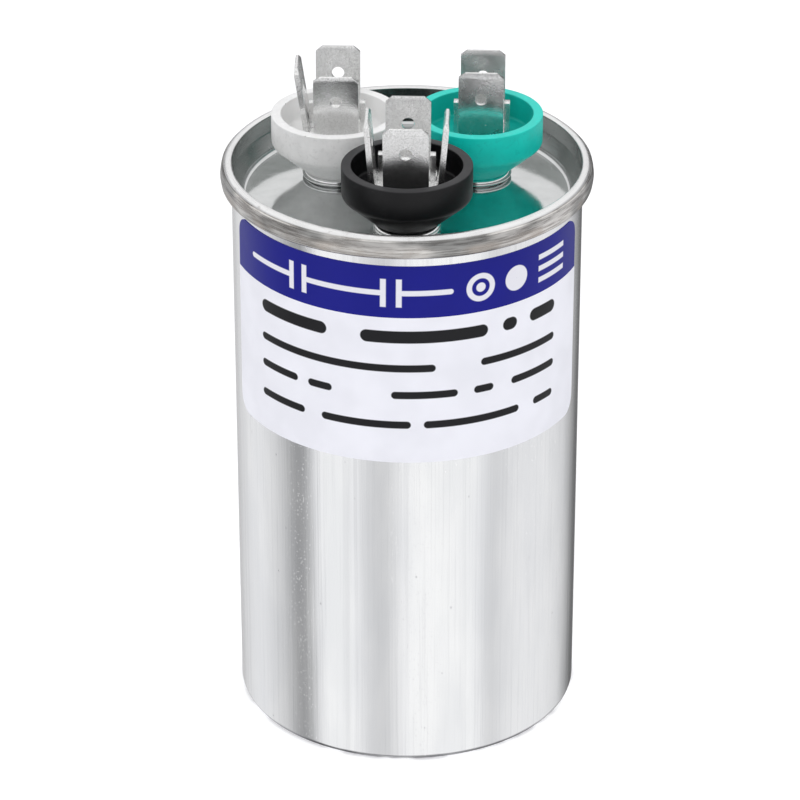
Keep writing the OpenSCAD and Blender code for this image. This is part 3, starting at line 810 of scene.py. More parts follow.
def cup_plastic(name, at, colour, inner, top_light_colour, roughness, dirt):
    """Moulded plastic: an even colour with faint clouds, painted top light on the rim, scuffs and
    specks of dirt.

    at is the cup's middle. inner dims the colour inside the cup as painted shade. top_light_colour
    is the paler colour painted on the rim's top as painted top light, and dirt the share of the rim's
    specks that shows.
    """
    rim_level, floor = high("common_cup"), low("common_tabs")
    mouth = width("common_cup") / 2 - 1.25 * MM

    def build(nodes, position):
        cloud = nodes.noise(position, 350, 3)
        skin = nodes.noise(position, 4200, 2, 0.6)
        rubs = nodes.ramp(nodes.noise(nodes.stretched(position, (1, 1, 2)), 900, 4, 0.7), 0.55, 0.70)
        specks = nodes.use(speckle(), {"Vector": position, "Scale": 1250.0, "Share": 0.4})
        mottle = nodes.ramp(nodes.noise(position, 1500, 3, 0.65), 0.52, 0.70, 0.0, 0.6)
        x, y, level = nodes.axes(position)
        rim = nodes.ramp(level, rim_level - 0.9 * MM, rim_level - 0.02 * MM)
        crown = nodes.ramp(level, rim_level - 0.16 * MM, rim_level - 0.01 * MM)
        even = nodes.mix(nodes.ramp(cloud, 0.3, 0.7), dimmed(colour, 0.9), tuple(colour))
        outer = nodes.mix(mottle, even, dimmed(colour, 0.78))
        radius = nodes.length(nodes.minus(x, at.x), nodes.minus(y, at.y))
        # Painted shade: inside the cup's mouth and above its floor, the colour is dimmed to the share
        # inner.
        inside = nodes.times(nodes.ramp(radius, mouth - 0.1 * MM, mouth, 1.0, 0.0),
                             nodes.ramp(level, floor - 0.5 * MM, floor - 0.3 * MM))
        tone = nodes.mix(inside, outer, dimmed(colour, inner))
        # Painted top light: the rim's top turns to a paler colour, broken up by the rubs noise.
        painted_top_light = nodes.times(crown, nodes.ramp(rubs, 0.0, 1.0, 0.55, 1.0))
        rim_dirt = nodes.times(nodes.times(rim, nodes.patches(position, 260, 3, 0.46, 0.60)), dirt)
        grime = nodes.times(specks["Mask"], nodes.plus(rim_dirt, 0.06 * dirt))
        soiled = nodes.mix(grime, nodes.mix(painted_top_light, tone, top_light_colour), (0.14, 0.125, 0.11, 1))
        rough = nodes.plus(nodes.ramp(cloud, 0.3, 0.7, roughness, roughness + 0.08),
                           nodes.times(rubs, 0.12))
        return {"Base Color": soiled, "Roughness": rough,
                "Normal": nodes.bump(skin, 0.25, 0.03 * MM)}

    return material(name, build, Specular_IOR_Level=0.3)


def board(name, dark, pale, roughness):
    """Pressed board, paper or plain moulding: soft clouds and a fibrous skin."""

    def build(nodes, position):
        cloud = nodes.noise(position, 360, 3)
        fibre = nodes.noise(nodes.stretched(position, (1, 3, 1)), 3600, 3, 0.7)
        blend = nodes.plus(nodes.times(cloud, 0.7), nodes.times(fibre, 0.3))
        return {"Base Color": nodes.mix(nodes.ramp(blend, 0.3, 0.8), dark, pale),
                "Roughness": nodes.ramp(fibre, 0.2, 0.8, roughness - 0.08, roughness),
                "Normal": nodes.bump(fibre, 0.3, 0.04 * MM)}

    return material(name, build)


# ---------------------------------------------------------------- printed label

PRINT_MAP = "print"
PRINT_SPAN = 100.0  # millimetres in one unit of the print map

# Signs on the band, in millimetres across and up on the label.
BAND_MIDDLE = 76.6
SIGN_HALF = 2.15
STROKE = 0.8
WIRES = ((-26.0, -17.4), (-15.2, -3.4), (-1.2, 6.4))
PLATES = (-17.4, -15.2, -3.4, -1.2)
RINGS = ((10.4, SIGN_HALF - STROKE / 2, STROKE), (10.4, 0.35, 0.7), (16.2, 0.95, 1.9))
BARS = (20.4, 26.4)
BAR_RISE = (STROKE / 2 - SIGN_HALF, 0.0, SIGN_HALF - STROKE / 2)

# Rows on the field: the middle, the height and the ends of each bar, in millimetres.
ROWS = (
    (69.8, 1.9, ((-23.6, -11.6), (-6.6, 11.6), (14.0, 16.4), (18.8, 24.2))),
    (64.9, 1.15, ((-23.6, 4.0), (10.6, 24.2))),
    (60.7, 1.15, ((-23.6, -16.4), (-14.6, -10.8), (-2.2, 7.2), (9.6, 12.6), (15.6, 24.2))),
    (56.0, 1.15, ((-23.6, -15.2), (-12.4, 0.6), (2.4, 17.0), (19.8, 24.0))),
)


def smooth_edge(nodes, distance, blur=0.06):
    """1 inside a shape whose signed distance in millimetres is below 0."""
    return nodes.ramp(distance, -blur, blur, 1.0, 0.0, smooth=False)


def outside(nodes, value, low_end, high_end, less=0.0):
    """How far value lies outside low_end..high_end, each end drawn in by less."""
    away = nodes.math("ABSOLUTE", nodes.minus(value, (low_end + high_end) / 2))
    return nodes.minus(away, (high_end - low_end) / 2 - less)


def bar_mask(nodes, across, up, left, right, middle, height):
    """A bar with round ends between left and right, in millimetres on the label."""
    half = height / 2
    beside = nodes.math("MAXIMUM", outside(nodes, across, left, right, half), 0.0)
    far = nodes.length(beside, nodes.minus(up, middle))
    return smooth_edge(nodes, nodes.minus(far, half))


def box_mask(nodes, across, up, left, right, bottom, top):
    """A box with sharp corners, in millimetres on the label."""
    return smooth_edge(nodes, nodes.math(
        "MAXIMUM", outside(nodes, across, left, right), outside(nodes, up, bottom, top)))


def ring_mask(nodes, across, up, x, y, radius, line):
    """A ring round (x, y) with a line of that width, in millimetres on the label."""
    far = nodes.length(nodes.minus(across, x), nodes.minus(up, y))
    off = nodes.math("ABSOLUTE", nodes.minus(far, radius))
    return smooth_edge(nodes, nodes.minus(off, line / 2))


def joined(nodes, masks):
    """The union of several masks."""
    whole = masks[0]
    for mask in masks[1:]:
        whole = nodes.math("MAXIMUM", whole, mask)
    return whole


def band_marks(nodes, across, up):
    """Signs on the band: two capacitors in a line, a ringed dot, a disc and three bars."""
    middle, half = BAND_MIDDLE, STROKE / 2
    return joined(nodes, [
        bar_mask(nodes, across, up, left, right, middle, STROKE) for left, right in WIRES
    ] + [
        box_mask(nodes, across, up, x - half, x + half, middle - SIGN_HALF, middle + SIGN_HALF)
        for x in PLATES
    ] + [
        ring_mask(nodes, across, up, x, middle, radius, line) for x, radius, line in RINGS
    ] + [
        box_mask(nodes, across, up, *BARS, middle + rise - half, middle + rise + half)
        for rise in BAR_RISE
    ])


def row_marks(nodes, across, up):
    """Dark bars in four rows, as long as the words of the label's data."""
    return joined(nodes, [
        bar_mask(nodes, across, up, left, right, middle, height)
        for middle, height, words in ROWS for left, right in words
    ])


def film(name, ground, ink, marks, roughness):
    """Printed film: a coloured ground with marks(nodes, across, up) in ink."""

    def build(nodes, position):
        place = nodes.axes(nodes.add("ShaderNodeUVMap", uv_map=PRINT_MAP).outputs["UV"])
        across = nodes.times(nodes.minus(place[0], 0.5), PRINT_SPAN)
        up = nodes.times(place[1], PRINT_SPAN)
        cloud = nodes.noise(position, 120, 2)
        skin = nodes.noise(position, 2600, 2)
        paper = nodes.mix(nodes.ramp(cloud, 0.3, 0.7), dimmed(ground, 0.93), tuple(ground))
        return {"Base Color": nodes.mix(marks(nodes, across, up), paper, tuple(ink)),
                "Roughness": nodes.ramp(cloud, 0.3, 0.7, roughness, roughness + 0.07),
                "Normal": nodes.bump(skin, 0.12, 0.02 * MM)}

    return material(name, build, Specular_IOR_Level=0.18)


# ---------------------------------------------------------------- shaping helpers


def face_out(piece):
    """Points every face of piece outwards."""
    activate(piece)
    bpy.ops.object.mode_set(mode="EDIT")
    bpy.ops.mesh.select_all(action="SELECT")
    bpy.ops.mesh.normals_make_consistent(inside=False)
    bpy.ops.object.mode_set(mode="OBJECT")


def drill(piece, radius, length, place):
    """Cuts a round hole through piece: place turns and moves a cylinder that stands on Z."""
    deselect()
    bpy.ops.mesh.primitive_cylinder_add(vertices=48, radius=radius, depth=length)
    cutter = bpy.context.object
    cutter.matrix_world = place
    cut(piece, cutter)


def cut(piece, tool):
    """Cuts the shape of tool out of piece, and removes tool."""
    activate(piece)
    modifier = piece.modifiers.new("Cut", "BOOLEAN")
    modifier.operation = "DIFFERENCE"
    modifier.object = tool
    modifier.solver = "EXACT"
    bpy.ops.object.modifier_apply(modifier=modifier.name)
    activate(tool)
    bpy.ops.object.delete()


def round_edges(piece, radius):
    """Rounds the sharp edges of piece."""
    modifier = piece.modifiers.new("Round", "BEVEL")
    modifier.width = radius
    modifier.segments = 2
    modifier.limit_method = "ANGLE"
    modifier.angle_limit = math.radians(35)
    apply_modifiers(piece)


# ---------------------------------------------------------------- can and cover


def can_profile(can):
    """The can's section: base, wall, the flare under the seam, and the inside."""
    low_seam = high("cover") - can.seam_height
    hook_top = high("cover") - 0.7 * MM
    outer, inner = can.radius, can.radius - can.wall
    flare, floor = 0.55 * MM, 0.45 * MM
    return (
        [(0, 0)]
        + arc((outer - can.base_bend, can.base_bend), can.base_bend, -90, 0, 8)
        + [(outer, low_seam - flare), (outer + flare * 0.5, low_seam - flare * 0.45),
           (outer + flare, low_seam), (outer + flare, hook_top),
           (inner + flare, hook_top), (inner + flare, low_seam), (inner, low_seam - flare)]
        + arc((inner - can.base_bend / 2, floor + can.base_bend / 2), can.base_bend / 2, 0, -90, 4)
        + [(0, floor)]
    )


def cover_profile(can):
    """The cover's section: the rolled seam, its shoulder crease, the chuck wall and the panel."""
    top = high("cover")
    foot = top - can.seam_height
    out, inner, sheet = can.seam_reach, can.seam_inner, can.sheet
    panel = top - can.panel_drop
    bulge, bend = can.seam_bulge, can.panel_bend
    lip, corner, top_corner = 0.34 * MM, 0.2 * MM, 0.3 * MM
    crease = out - 0.42 * MM
    hook, hook_level = can.radius + 0.62 * MM, foot + 0.6 * MM
    tapered = foot + sheet
    wall = can.wall_foot
    # The seam's outer wall: how many times the bulge it draws in, and millimetres above its foot.
    outer_wall = ((0.35, 0.75), (0, 1.15), (0, 1.3), (0.8, 2.0), (1.6, 2.4))
    # The shoulder over the crease: millimetres inwards from the crease and down from the top.
    shoulder = ((0.07, 0.38), (0.16, 0.2), (0.3, 0.08), (0.5, 0.02), (0.72, 0))
    underside = (
        [(0, panel - sheet), (wall * 0.35, panel - sheet), (wall * 0.7, panel - sheet)]
        + arc((wall - bend, panel + bend), bend + sheet, -90, 0, 6)
        + [(wall + sheet, tapered - can.taper), (inner + sheet, tapered),
           (inner + sheet, hook_level), (hook, hook_level)]
    )
    seam = (
        arc((hook + lip, foot + lip), lip, 180, 270, 4)
        + arc((out - bulge - lip, foot + lip), lip, -90, 0, 6)
        + [(out - times * bulge, foot + up * MM) for times, up in outer_wall]
        + arc((out - bulge * 1.6 - corner, foot + 2.42 * MM), corner, 15, 80, 4)
        + [(crease, top - 0.42 * MM - can.crease_depth)]
        + [(crease - inwards * MM, top - down * MM) for inwards, down in shoulder]
        + arc((inner + top_corner, top - top_corner), top_corner, 95, 180, 6)
    )
    inside = (
        [(inner, tapered + 0.25 * MM), (inner - 0.06 * MM, tapered),
         (wall + 0.06 * MM, tapered - can.taper), (wall, tapered - can.taper - 0.12 * MM)]
        + arc((wall - bend, panel + bend), bend, 0, -90, 8)
        + [(wall * 0.7, panel), (wall * 0.35, panel), (0, panel)]
    )
    return underside + seam + inside


def collar_profile(can, cup):
    """A drawn collar: a thin sleeve that stands on the panel and rolls outwards in a bead."""
    panel = high("cover") - can.panel_drop
    middle = (cup.collar_radius + cup.bead, cup.neck_level - cup.bead)
    return (
        [(cup.collar_radius, panel - can.sheet)]
        + arc(middle, cup.bead, 180, -62, 22)
        + [(cup.collar_radius + can.sheet, panel - can.sheet)]
    )


class CAPACITOR_OT_can(bpy.types.Operator):
    """Turns the drawn can with its base bend and the flare under the seam"""

    bl_idname = "capacitor.can"
    bl_label = "Can"

    def execute(self, context):
        can = context.scene.capacitor_can
        piece = turn("drawn_can", can_profile(can), can.segments, shade=30)
        finish(piece, [can_metal()], ["can"])
        return {"FINISHED"}


class CAPACITOR_OT_cover(bpy.types.Operator):
    """Turns the cover with its double seam, cuts the terminal holes and rolls the collars"""

    bl_idname = "capacitor.cover"
    bl_label = "Cover"

    def execute(self, context):
        can, cup = context.scene.capacitor_can, context.scene.capacitor_cup
        panel = high("cover") - can.panel_drop
        piece = turn("rolled_cover", cover_profile(can), can.segments, shade=30)
        for at in CUP_AT.values():
            drill(piece, cup.collar_radius, 4 * MM, Matrix.Translation((at.x, at.y, panel)))
        settle(piece, shade=30)
        finish(piece, [panel_metal(can), seam_metal(can)], ["cover"])
        # Faces outside the chuck wall get the second metal, the seam's.
        edge = can.seam_inner + 0.04 * MM
        for face in piece.data.polygons:
            face.material_index = int(math.hypot(face.center.x, face.center.y) > edge)

        bright = plain_metal("Drawn collar", (0.74, 0.75, 0.75, 1), (0.86, 0.86, 0.86, 1), 0.12)
        first = turn("collar_common", collar_profile(can, cup), cup.collar_segments,
                     shade=60, at=CUP_AT["common"])
        for collar in one_each(first, "collar_").values():
            finish(collar, [bright], ())
        return {"FINISHED"}


# ---------------------------------------------------------------- cups


def cup_profile(cup):
    """A cup's section: plug, neck, cone, straight wall, rounded rim, inside and floor."""
    top, foot = high("common_cup"), low("common_cup")
    r, inside = cup.radius, cup.radius - cup.wall
    shoulder = top - cup.wall_height
    floor = top - cup.depth
    fillet, chamfer, neck_chamfer = 0.4 * MM, 0.2 * MM, 0.12 * MM
    slope = Vector((r - cup.neck_radius, shoulder - cup.neck_level)).normalized()
    return (
        [(0, foot), (cup.plug_radius - chamfer, foot), (cup.plug_radius, foot + chamfer),
         (cup.plug_radius, cup.neck_level), (cup.neck_radius - neck_chamfer, cup.neck_level),
         (cup.neck_radius + slope.x * 0.1 * MM, cup.neck_level + neck_chamfer),
         (r - slope.x * 0.5 * MM, shoulder - slope.y * 0.5 * MM),
         (r - slope.x * 0.18 * MM, shoulder - slope.y * 0.12 * MM),
         (r - 0.02 * MM, shoulder + 0.18 * MM), (r, shoulder + 0.55 * MM)]
        + arc((r - cup.edge, top - cup.edge), cup.edge, 0, 90, 5)
        + arc((inside + cup.edge, top - cup.edge), cup.edge, 90, 180, 5)
        + arc((inside - fillet, floor + fillet), fillet, 0, -90, 5)
        + [(inside / 2, floor), (0, floor)]
    )


# Each cup's slot and its plastic: the name, the share of light inside, which is painted shade, the
# paler colour of the rim's top, which is painted top light, the roughness and the share of dirt.
MOULDINGS = {
    "common": ("cup_black", "Black moulding", 0.7, (0.038, 0.038, 0.041, 1), 0.34, 0.3),
    "compressor": ("cup_white", "White moulding", 0.97, (0.90, 0.90, 0.90, 1), 0.36, 0.9),
    "fan": ("cup_teal", "Teal moulding", 0.62, (0.04, 0.70, 0.60, 1), 0.38, 0.3),
}


class CAPACITOR_OT_cups(bpy.types.Operator):
    """Turns one insulating cup, copies it to each terminal and gives each its plastic"""

    bl_idname = "capacitor.cups"
    bl_label = "Insulating cups"

    def execute(self, context):
        cup = context.scene.capacitor_cup
        colours = context.scene.capacitor_colours
        first = turn("moulded_cup_common", cup_profile(cup), cup.segments,
                     shade=40, at=CUP_AT["common"])
        for name, piece in one_each(first, "moulded_cup_").items():
            slot, title, *look = MOULDINGS[name]
            plastic = cup_plastic(title, CUP_AT[name], getattr(colours, name), *look)
            finish(piece, [plastic], [name + "_cup"])
        return {"FINISHED"}


# ---------------------------------------------------------------- tabs

TURNED = {"common": -2.0, "compressor": -1.0, "fan": -3.0}  # degrees about each stud
ASIDE = {"common": 0.0, "compressor": 0.25 * MM, "fan": 0.45 * MM}  # from the cup's middle, along X


def strip(name, tab, foot, level, tip, lean, foot_width, start_at=0.0):
    """A folded strip that runs from start_at past the stud out to the foot, up and to the tip.

    level is the height of the plate's middle and tip the height of the tip, over the cup floor. A
    strip that is narrower than a tab at its foot widens to the tab's width just above the bend.
    """
    deselect()
    bpy.ops.mesh.primitive_plane_add(size=1, rotation=(0, math.pi / 2, 0))
    piece = bpy.context.object
    piece.name = name
    piece.scale = (tab.sheet, foot_width, 1)
    piece.location = (start_at, 0, level)
    fix_place()
    bpy.ops.object.mode_set(mode="EDIT")
    bpy.ops.mesh.select_all(action="SELECT")

    def push(x, z):
        """Extrudes the open end of the strip."""
        bpy.ops.mesh.extrude_region_move(TRANSFORM_OT_translate={"value": (x, 0, z)})

    push(tab.ear_width / 2 - start_at, 0)
    push(foot - tab.bend - tab.ear_width / 2, 0)
    up = math.pi / 2 - lean
    hub = Vector((foot - tab.bend, 0, level + tab.bend))
    bpy.ops.mesh.spin(steps=8, angle=up, center=hub, axis=(0, 1, 0))
    bend_end = hub + tab.bend * Vector((math.sin(up), 0, -math.cos(up)))
    rise = Vector((math.cos(up), 0, math.sin(up)))
    run = (tip - bend_end.z) / rise.z
    risen = 0.05 * run
    push(*(risen * rise).xz)
    if foot_width < tab.width:
        shoulder = 0.15 * MM
        push(*(shoulder * rise).xz)
        risen += shoulder
        ratio = tab.width / foot_width
        bpy.ops.transform.resize(value=(1, ratio, 1), center_override=bend_end + risen * rise)
    push(*((run - risen - tab.tip_bevel) * rise).xz)
    push(*(tab.tip_bevel * rise).xz)
    end = bend_end + run * rise
    thin = 1 - 2 * tab.tip_thin / tab.sheet
    bpy.ops.transform.resize(value=(thin, 1, thin), center_override=end)
    for side in (-1, 1):
        across = Vector((0, side, 0))
        corner = end + across * (tab.width / 2 - tab.corner)
        bpy.ops.mesh.select_all(action="SELECT")
        bpy.ops.mesh.bisect(plane_co=corner, plane_no=(rise + across).normalized(),
                            use_fill=True, clear_outer=True)
    bpy.ops.object.mode_set(mode="OBJECT")
    face_out(piece)
    bore = end - tab.hole_from_tip * rise
    facing = Matrix.Rotation(math.pi / 2 + lean, 4, "Y")
    drill(piece, tab.hole, 4 * tab.sheet, Matrix.Translation(bore) @ facing)
    return piece


def round_end(piece, end, radius):
    """Rounds the two upright edges of piece at x = end."""

    def upright(edge):
        first, last = (piece.data.vertices[i].co for i in edge.vertices)
        return max(abs(first.x - end), abs(last.x - end), abs(first.y - last.y)) < NEAR

    activate(piece)
    mesh_select(piece, "EDGE", upright)
    bpy.ops.mesh.bevel(offset=radius, segments=8)
    bpy.ops.object.mode_set(mode="OBJECT")


def mirrored(piece):
    """Opens piece at the stud's axis and mirrors it, so that both halves are one strip."""
    activate(piece)
    mesh_select(piece, "FACE", lambda face: all(
        abs(piece.data.vertices[i].co.x) < NEAR for i in face.vertices))
    bpy.ops.mesh.delete(type="FACE")
    bpy.ops.object.mode_set(mode="OBJECT")
    modifier = piece.modifiers.new("Mirror", "MIRROR")
    modifier.use_axis[0] = True
    modifier.merge_threshold = TINY
    apply_modifiers(piece)
    face_out(piece)


def raise_ears(piece, tab):
    """Extrudes the plate's edges sideways at the stud and bends them up as ears."""
    for side in (-1, 1):
        activate(piece)
        mesh_select(piece, "FACE", lambda face: (
            face.normal.y * side > 0.9 and abs(face.center.x) < tab.ear_width / 2
            and face.center.z < tab.sheet))
        bend = tab.ear_gap - tab.width / 2
        hub = (0, side * tab.width / 2, tab.sheet / 2 + bend)
        bpy.ops.mesh.spin(steps=5, angle=math.pi / 2, center=hub, axis=(-side, 0, 0))
        rise = tab.ear_height - tab.sheet / 2 - bend
        bpy.ops.mesh.extrude_region_move(TRANSFORM_OT_translate={"value": (0, 0, rise)})
        bpy.ops.object.mode_set(mode="OBJECT")
    face_out(piece)


def front_and_back(name, tab, lean):
    """A bracket with a tab in front, one at the back and two ears, riveted through its middle."""
    tip = high("common_tabs") - low("common_tabs")
    piece = strip(name, tab, tab.foot, tab.sheet / 2, tip, lean, tab.width)
    mirrored(piece)
    raise_ears(piece, tab)
    drill(piece, tab.stud, 4 * tab.sheet, Matrix())
    round_edges(piece, tab.edge)
    return piece


def slot_for_ear(piece, tab, side):
    """Cuts the slot through which an ear of the bracket below stands up."""
    deselect()
    bpy.ops.mesh.primitive_cube_add(size=1, location=(side * tab.ear_gap, 0, 1.5 * tab.sheet))
    slot = bpy.context.object
    slot.scale = (tab.sheet + tab.slot_play, tab.ear_width + tab.slot_play, 3 * tab.sheet)
    fix_place()
    cut(piece, slot)


def side_bracket(name, tab, foot, lean, drop, tail=0.0):
    """The bracket above: a tab at each side, or one tab and a round tail that long past the stud."""
    tip = high("common_side_tabs") - low("common_tabs") - drop
    piece = strip(name, tab, foot, 1.5 * tab.sheet, tip, lean, tab.side_foot_width, -tail)
    if tail:
        round_end(piece, -tail, tab.single_round)
    else:
        mirrored(piece)
    for side in (1,) if tail else (1, -1):
        slot_for_ear(piece, tab, side)
    drill(piece, tab.stud, 8 * tab.sheet, Matrix())
    round_edges(piece, tab.edge)
    return piece


def stand(piece, terminal, turned):
    """Turns piece about its stud, stands it on the cup's floor and keeps its broad faces flat.

    turned is in degrees, and the terminal's own small turn is added to it.
    """
    at = CUP_AT[terminal] + Vector((ASIDE[terminal], 0, 0))
    activate(piece)
    piece.matrix_world = (
        Matrix.Translation((at.x, at.y, low("common_tabs")))
        @ Matrix.Rotation(math.radians(TURNED[terminal] + turned), 4, "Z") @ piece.matrix_world)
    settle(piece, shade=50)
    flat = piece.modifiers.new("Flat faces", "WEIGHTED_NORMAL")
    flat.keep_sharp = True
    flat.weight = 100
    apply_modifiers(piece)


class CAPACITOR_OT_tabs(bpy.types.Operator):
    """Folds the push-on tabs, cuts their tips and latch holes, and stands them in the cups"""

    bl_idname = "capacitor.tabs"
    bl_label = "Push-on tabs"

    def execute(self, context):
        tab = context.scene.capacitor_tab
        tin = tab_metal()
        leaning = front_and_back("tabs_common", tab, tab.lean)
        lower = {
            "common": leaning,
            "compressor": copy_to(leaning, "tabs_compressor", Vector()),
            "fan": front_and_back("tabs_fan", tab, tab.fan_lean),
        }
        for name, piece in lower.items():
            stand(piece, name, turned=90)
            finish(piece, [tin], [name + "_tabs"])

        both = side_bracket("side_tabs_common", tab, tab.side_foot, tab.side_lean, tab.side_drop)
        stand(both, "common", turned=0)
        finish(both, [tin], ["common_side_tabs"])

        single = side_bracket("side_tab_compressor", tab, tab.single_foot, tab.single_lean,
                              tab.single_drop, tab.single_tail)
        stand(single, "compressor", turned=180)
        finish(single, [tin], ["compressor_side_tab"])
        return {"FINISHED"}


# ---------------------------------------------------------------- label


def wrapped(name, label, radius, keep_above):
    """One field of the label: a flat sheet with round corners, cut at the band, then wrapped.

    keep_above keeps the band, and otherwise the field below it is kept.
    """
    top, border, foot = high("label_band") + label.lift, low("label_band"), low("label")
    middle = Vector((0, 0, (top + foot) / 2))
    deselect()
    bpy.ops.mesh.primitive_plane_add(size=1, rotation=(math.pi / 2, 0, 0))
    piece = bpy.context.object
    piece.name = name
    piece.scale = (label.width, top - foot, 1)
    piece.location = middle
    fix_place()
    bpy.ops.object.mode_set(mode="EDIT")
    bpy.ops.mesh.select_all(action="SELECT")
    bpy.ops.mesh.bevel(offset=label.corner, segments=10, affect="VERTICES")
    for i in range(1, label.columns):
        bpy.ops.mesh.select_all(action="SELECT")
        x = label.width * (i / label.columns - 0.5)
        bpy.ops.mesh.bisect(plane_co=(x, 0, 0), plane_no=(1, 0, 0))
    bpy.ops.mesh.select_all(action="SELECT")
    bpy.ops.mesh.bisect(plane_co=(0, 0, border), plane_no=(0, 0, 1),
                        clear_inner=keep_above, clear_outer=not keep_above)
    bpy.ops.object.mode_set(mode="OBJECT")
    piece.matrix_world = (Matrix.Translation(middle) @ Matrix.Rotation(label.skew, 4, "Y")
                          @ Matrix.Translation(-middle))
    while piece.data.uv_layers:
        piece.data.uv_layers.remove(piece.data.uv_layers[0])
    place = piece.data.uv_layers.new(name=PRINT_MAP).data
    for loop in piece.data.loops:
        spot = piece.data.vertices[loop.vertex_index].co
        place[loop.index].uv = (0.5 + spot.x / MM / PRINT_SPAN, spot.z / MM / PRINT_SPAN)
    activate(piece)
    fix_place()

    bend = piece.modifiers.new("Wrap", "SIMPLE_DEFORM")
    bend.deform_method = "BEND"
    bend.deform_axis = "Z"
    bend.angle = label.width / radius
    apply_modifiers(piece)
    wall = piece.modifiers.new("Film", "SOLIDIFY")
    wall.thickness = label.film
    wall.offset = 1.0
    apply_modifiers(piece)
    return piece


class CAPACITOR_OT_label(bpy.types.Operator):
    """Cuts the label film, maps its print and wraps it round the can"""

    bl_idname = "capacitor.label"
    bl_label = "Label"

    def execute(self, context):
        label = context.scene.capacitor_label
        radius = context.scene.capacitor_can.radius
        colours = context.scene.capacitor_colours
        field = film("Label field", colours.field, colours.ink, row_marks, 0.38)
        band = film("Label band", colours.band, colours.signs, band_marks, 0.34)
        for name, node, above, printed, slot in (
            ("wrapped_label", "label", False, field, "label_film"),
            ("wrapped_band", "label_band", True, band, "label_band_film"),
        ):
            piece = wrapped(name, label, radius, above)
            piece.location = (0, -radius, 0)
            settle(piece, shade=40)
            finish(piece, [printed], [node])
        return {"FINISHED"}


# ---------------------------------------------------------------- carried-over pieces

# Each kind of hidden piece: its material's name, its dark and its pale tone, and its roughness.
INSIDE = {
    "seam_compound": ("Sealing compound", (0.05, 0.07, 0.06, 1), (0.09, 0.11, 0.10, 1), 0.6),
    "gasket": ("Gasket rubber", (0.012, 0.012, 0.013, 1), (0.03, 0.03, 0.03, 1), 0.6),
    "washer": ("Phenolic washer", (0.16, 0.07, 0.03, 1), (0.26, 0.12, 0.05, 1), 0.5),
    "interrupter_disc": ("Disc board", (0.30, 0.17, 0.08, 1), (0.42, 0.26, 0.13, 1), 0.7),
    "winding": ("Wound film", (0.42, 0.44, 0.46, 1), (0.60, 0.62, 0.64, 1), 0.3),
    "end_spray": ("Sprayed zinc", (0.28, 0.28, 0.29, 1), (0.42, 0.42, 0.43, 1), 0.8),
    "winding_spacer": ("Spacer board", (0.40, 0.33, 0.22, 1), (0.55, 0.47, 0.33, 1), 0.8),
    "winding_core": ("Core tube", (0.55, 0.53, 0.48, 1), (0.68, 0.66, 0.60, 1), 0.5),
    "insulating_sleeve": ("Sleeve plastic", (0.62, 0.60, 0.52, 1), (0.74, 0.72, 0.64, 1), 0.4),
    "base_pan": ("Pan plastic", (0.50, 0.50, 0.48, 1), (0.64, 0.64, 0.62, 1), 0.5),
}


class CAPACITOR_OT_inside(bpy.types.Operator):
    """Gives the studs and the pieces under the cover and in the can their own materials"""

    bl_idname = "capacitor.inside"
    bl_label = "Studs and inside"

    def execute(self, context):
        stud = plain_metal("Stud steel", (0.50, 0.50, 0.50, 1), (0.68, 0.68, 0.67, 1), 0.28)
        lead = plain_metal("Tinned copper", (0.60, 0.36, 0.24, 1), (0.76, 0.52, 0.38, 1), 0.30)
        finishes = {"stud": stud, "lead": lead}
        finishes.update({kind: board(*values) for kind, values in INSIDE.items()})
        for name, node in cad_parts.items():
            for kind, made in finishes.items():
                if name == kind or name.endswith("_" + kind):
                    for slot in node.material_slots:
                        slot.material = made
        return {"FINISHED"}


# ---------------------------------------------------------------- studio

# Light that the can reflects: round it, as (degrees about the axis, display level), and its share
# over the height, as (degrees above level, share). The camera stands at 0 degrees.
ROUND = (
    (-180, 245), (-168, 190), (-149, 205), (-129, 222), (-112, 216), (-93, 188), (-79, 148),
    (-70, 178), (-60, 236), (-47, 248), (-33, 222), (-20, 202), (-10, 212), (2, 238), (12, 251),
    (36, 252), (48, 236), (60, 208), (70, 215), (90, 222), (118, 215), (135, 196), (152, 135),
    (170, 120), (180, 245),
)
UPRIGHT = (
    (-90, 1.0), (-77, 0.85), (-66, 0.25), (-52, 0.6), (-42, 1.0), (-22, 1.0), (-14, 0.85),
    (-7, 0.66), (4, 0.52), (14, 0.65), (24, 1.0), (45, 1.05), (90, 0.95),
)
ALBEDO = 0.84  # share of the light that the can's metal gives back
AIM = Vector((0, 0, 0.06))  # where the lamps point, in metres
# Each lamp's power in watts, and its width and place in metres.
LAMPS = {
    "key_softbox": (5.0, 0.9, (-0.7, -0.9, 1.5)),
    "fill_softbox": (2.5, 1.0, (1.0, -0.6, 1.2)),
    "top_softbox": (3.0, 1.2, (0.0, 0.4, 1.7)),
}


def linear(level):
    """Linear light of a display level from 0 to 255."""
    value = level / 255
    return value / 12.92 if value <= 0.04045 else ((value + 0.055) / 1.055) ** 2.4


def stops(nodes, fac, values):
    """A smooth colour ramp through (place, light) pairs, with places from 0 to 1."""
    ring = nodes.add("ShaderNodeValToRGB", {"Fac": fac})
    bands = ring.color_ramp
    bands.interpolation = "CARDINAL"
    while len(bands.elements) > 1:
        bands.elements.remove(bands.elements[-1])
    for index, (place, light) in enumerate(values):
        stop = bands.elements[0] if index == 0 else bands.elements.new(place)
        stop.position = place
        stop.color = (light, light, light * 1.01, 1)
    return ring.outputs["Color"]


